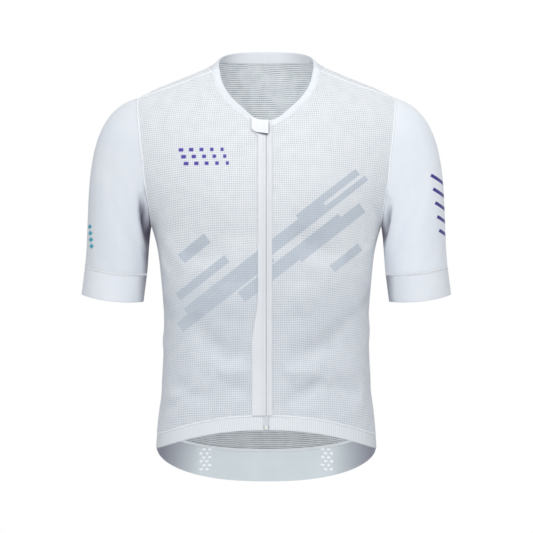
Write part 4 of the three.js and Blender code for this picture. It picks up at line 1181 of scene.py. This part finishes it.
# The flap over the slider
# A small folded tab of smooth white cloth, sewn down at the wearer's right of the zip, that covers
# the slider. Its lower edge slants and its lower outer corner is rounded.
FLAP = dict(left=-22.5, right=3.2, bottom=-13.3, slant=0.2, top=9.8, corner=9.0, low=2.2, high=5.3, cloth=0.9)
flap_x = np.linspace(FLAP["left"], FLAP["right"], 37)[None, :]
flap_t = steps(0, 1, 24)[:, None]
nearness = np.maximum(1 - (flap_x - FLAP["left"]) / FLAP["corner"], 0)
flap_bottom = FLAP["bottom"] + FLAP["corner"] * (1 - np.sqrt(1 - (0.94 * nearness) ** 2))
flap_bottom = flap_bottom + FLAP["slant"] * (FLAP["right"] - flap_x)
flap_up = flap_bottom + (FLAP["top"] + 0.012 * flap_x**2 - flap_bottom) * flap_t
flap_out = FLAP["low"] + (FLAP["high"] - FLAP["low"]) * (flap_x - FLAP["left"]) / (FLAP["right"] - FLAP["left"])
slider_place, slider_up, slider_out = (v[0] for v in on_zip(np.array([SLIDER_Z])))
flap_grid = (
    slider_place
    + np.array([1.0, 0, 0]) * (flap_x + 0 * flap_t)[..., None]
    + slider_up * flap_up[..., None]
    + slider_out * (flap_out + FLAP["cloth"] + 0 * flap_t)[..., None]
)
# The flap has a slight painted glow, painted light that keeps it bright white, and a little painted shade in tight
# corners.
flap_cloth = warp_knit("smooth white flap", tint="feffff", shade="fafcfd", painted_glow=0.06, reach=0.01)
piece = surface("zip_garage", doubled(flap_grid, FLAP["cloth"]), round_rows=True)
dressed(piece, flap_cloth, "sleeve_knit", "zip_flap")

# The rear pockets
# Three patch pockets side by side on the lower back, sewn in at the elastic band and along the
# stitch lines between them. Their upper edges are bound with elastic and stand a little open.
POCKET_CLOTH, POCKET_ROWS, POCKET_GAP = 1.0, 6, 0.35
pocket_knit = warp_knit("smooth pocket knit", tint="eef1f4", shade="e4e9ee")
pocket_bind = ribbed_knit("pocket edge elastic", 0.003, "f1f4f6", "dde3e8")
for name, first, last in (("left", -10, -3), ("middle", -3, 3), ("right", 3, 10)):
    s = np.linspace(first / 14, last / 14, (last - first) * 8 + 1)[None, :]
    up_rows = steps(0, POCKET_ROWS, 60)[:, None]
    grid = panel_point(BACK, np.abs(s), up_rows) * np.where(s > 0, -1, 1)[..., None] ** np.array([1, 0, 0])
    grid = creased(grid, 1.0 + 0 * up_rows)
    t = (s - s[:, :1]) / (s[:, -1:] - s[:, :1])
    belly = np.sin(np.pi * t) ** 0.8 * (up_rows / POCKET_ROWS) ** 2 * 3.0
    grid = grid + grid_normals(grid) * (POCKET_GAP + POCKET_CLOTH + belly)[..., None]
    piece = thicken(surface(f"pocket_cloth_{name}", grid), POCKET_CLOTH)
    edge = grid[-7:] + grid_normals(grid)[-7:] * 0.35
    binding = surface(f"pocket_binding_{name}", doubled(edge, POCKET_CLOTH + 0.7), round_rows=True)
    dressed(binding, pocket_bind, "pocket_knit")
    dressed(piece, pocket_knit, "pocket_knit", f"pocket_{name}")
    width = (0.135, 0.155)[name != "middle"]

# The seams
# The panels are joined with flatlock seams: a narrow raised ridge of thread lies over each joint,
# with a row of slanted stitches along both its sides.


def out_of(path, beside_path):
    """The way out of the cloth along a seam, square to it and to the way to a neighbour line."""
    along = np.gradient(path, axis=0)
    out = np.cross(along, beside_path - path)
    return out / np.linalg.norm(out, axis=1, keepdims=True)


# Seam thread: bright white textured polyester, with a painted glow, painted light that brightens it further
seam_thread = warp_knit("white seam thread", tint="f7fafd", shade="edf2f7", painted_glow=0.1, reach=0)

fine_rows = steps(0, PANEL_ROWS, 260)
low_rows = steps(0, BODY_ROWS, 150)
column_arm = steps(0, 2 * ARMHOLE_HALF, 300)[:-1]
shares_shoulder = steps(7 / 15, 1, 60)
fore = lambda share, row: panel_point(FRONT, share, row)
aft = lambda share, row: panel_point(BACK, share, row)
shoulder_path = fore(shares_shoulder, np.full(61, 26.0))
shoulder_out = out_of(shoulder_path, aft(steps(6 / 14, 1, 60), np.full(61, 25.8)))
armhole_path = armhole_point(column_arm)
arm_turn = np.interp(column_arm, round_arm, arm_turns)
armhole_out = grid_normals(sleeve_point(arm_turn[None, :], np.array([[0.0], [0.02], [0.04]])), True)[0]
body_out = np.cross(np.gradient(armhole_path, axis=0), armhole_path - np.where(
    (column_arm <= ARMHOLE_HALF)[:, None],
    fore(np.full(300, 0.985), PANEL_ROWS - np.minimum(column_arm, ARMHOLE_HALF)),
    aft(np.full(300, 0.985), PANEL_ROWS - np.minimum(2 * ARMHOLE_HALF - column_arm, ARMHOLE_HALF)),
))
body_out = body_out / np.linalg.norm(body_out, axis=1, keepdims=True)
armhole_out = armhole_out + body_out * np.sign((armhole_out * body_out).sum(1, keepdims=True))
armhole_out = armhole_out / np.linalg.norm(armhole_out, axis=1, keepdims=True)
side_path = fore(np.ones(151), low_rows)
side_out = out_of(side_path, aft(np.full(151, 0.98), low_rows))
side_out = side_out * np.sign((side_out * side_path * [1, 1, 0]).sum())
SEAMS = [
    # path, way out, width, height, closed, share of the trunk's creases
    ("shoulder_seam", shoulder_path, shoulder_out, 3.4, 0.8, False, 0),
    ("armhole_seam", armhole_path, armhole_out, 3.0, 0.8, True, 0),
    ("side_seam", side_path, side_out, 2.6, 0.55, False, 1),
    ("cuff_seam", cuff_ring(turns[0], np.full(120, CUFF_BAND)), None, 3.0, 0.3, True, 0),
    ("front_hem_seam", front_band[-1], grid_normals(front_band)[-1], 2.6, 0.5, False, 0.5),
    ("neck_seam_front", neckband_point(steps(6, 13, 70), np.zeros(71)), None, 2.4, 0.5, False, 0),
]
neck_low = neckband_point(*np.broadcast_arrays(steps(6, 13, 70)[None, :], steps(0, 1, 4)[:, None]))
cuff_grid = cuff_ring(np.broadcast_to(turns, (4, 120)), np.broadcast_to(np.array([[44.0], [42], [40], [38]]), (4, 120)))
for name, path, out, width, height, closed, creases in SEAMS:
    if name == "cuff_seam":
        out = grid_normals(cuff_grid, True)[1]
    if name == "neck_seam_front":
        out = grid_normals(neck_low[:, ::-1])[0][::-1]
    for side, label in ((1, "left"), (-1, "right")):
        flip = np.array([side, 1, 1])
        lift = creases * crease_height(path * flip, TRUNK_CREASES, trunk_paths)[:, None]
        line = path + out * lift
        ridge = seam_ridge(f"{name}_{label}", line * flip, out * flip, width, height, closed)
        dressed(ridge, seam_thread, "band_knit")
        rows = [stitch_row(line, out, 2.6, aside, closed) for aside in (-width / 2 - 0.3, width / 2 + 0.3)]
        centres, along, outs = (np.concatenate(part) for part in zip(*rows))
        thread = many(f"{name}_stitches_{label}", (centres + outs * 0.1) * flip, along * flip, outs * flip, bead(1.9, 0.6, 0.4, 4, 6))
        dressed(thread, seam_thread, "band_knit")

# Floor, light and camera: a plain pale floor well below the jersey, which hangs in the air as if
# worn, a large soft light above in front, a weaker one low in front, and the camera straight on.
floor = bpy.data.meshes.new("floor")
floor.from_pydata([(-30, -30, -1.02), (30, -30, -1.02), (30, 30, -1.02), (-30, 30, -1.02)], [], [(0, 1, 2, 3)])
floor_piece = bpy.data.objects.new("floor", floor)
bpy.context.scene.collection.objects.link(floor_piece)
material, tree = new_material("plain pale floor")
cloud = node(tree, "TexNoise", {"Scale": 2.0}).outputs[0]
shader = node(tree, "BsdfPrincipled", {"Base Color": mixed(tree, cloud, srgb("c9cacc"), srgb("c4c5c8"))})
shader.inputs["Roughness"].default_value = 0.9
glow = node(tree, "Emission", {0: srgb("ffffff")})
eye = node(tree, "LightPath").outputs["Is Camera Ray"]
node(tree, "OutputMaterial", {0: node(tree, "MixShader", {0: eye, 1: shader.outputs[0], 2: glow.outputs[0]}).outputs[0]})
floor.materials.append(material)

world = bpy.data.worlds.new("studio")
bpy.context.scene.world = world
world.use_nodes = True
world.node_tree.nodes["Background"].inputs[0].default_value = (0.93, 0.96, 1, 1)
world.node_tree.nodes["Background"].inputs[1].default_value = 0.54
# What the camera sees behind the jersey is the studio's white backdrop, lit apart from it.
white = world.node_tree.nodes.new("ShaderNodeBackground")
white.inputs[0].default_value = (1, 1, 1, 1)
seen = world.node_tree.nodes.new("ShaderNodeLightPath")
either = world.node_tree.nodes.new("ShaderNodeMixShader")
links = world.node_tree.links
links.new(seen.outputs["Is Camera Ray"], either.inputs[0])
links.new(world.node_tree.nodes["Background"].outputs[0], either.inputs[1])
links.new(white.outputs[0], either.inputs[2])
links.new(either.outputs[0], world.node_tree.nodes["World Output"].inputs[0])
bpy.context.scene.view_settings.view_transform = "Standard"


def soft_light(name, place, aim, size, watts, colour):
    """A square soft box turned from its place towards its aim."""
    lamp = bpy.data.lights.new(name, "AREA")
    lamp.size, lamp.energy, lamp.color = size, watts, colour
    made = bpy.data.objects.new(name, lamp)
    bpy.context.scene.collection.objects.link(made)
    made.location = place
    made.rotation_euler = (Vector(aim) - Vector(place)).to_track_quat("-Z", "Y").to_euler()


soft_light("key", (0.45, -2.3, 2.3), (0, 0, -0.25), 1.6, 52, (1, 1, 1))
soft_light("front", (-0.7, -3.0, -0.3), (0, 0, -0.35), 1.2, 20, (0.98, 0.99, 1))

CAMERA_AWAY, CAMERA_Z, MM_PER_PIXEL = 2.5, -0.313, 1.55
camera = bpy.data.objects.new("camera", bpy.data.cameras.new("camera"))
bpy.context.scene.collection.objects.link(camera)
camera.location = (0.0003, -CAMERA_AWAY, CAMERA_Z)
camera.rotation_euler = (math.radians(90), 0, 0)
camera.data.sensor_width = 36
camera.data.lens = 36 * CAMERA_AWAY / (533 * MM_PER_PIXEL / 1000)
bpy.context.scene.camera = camera
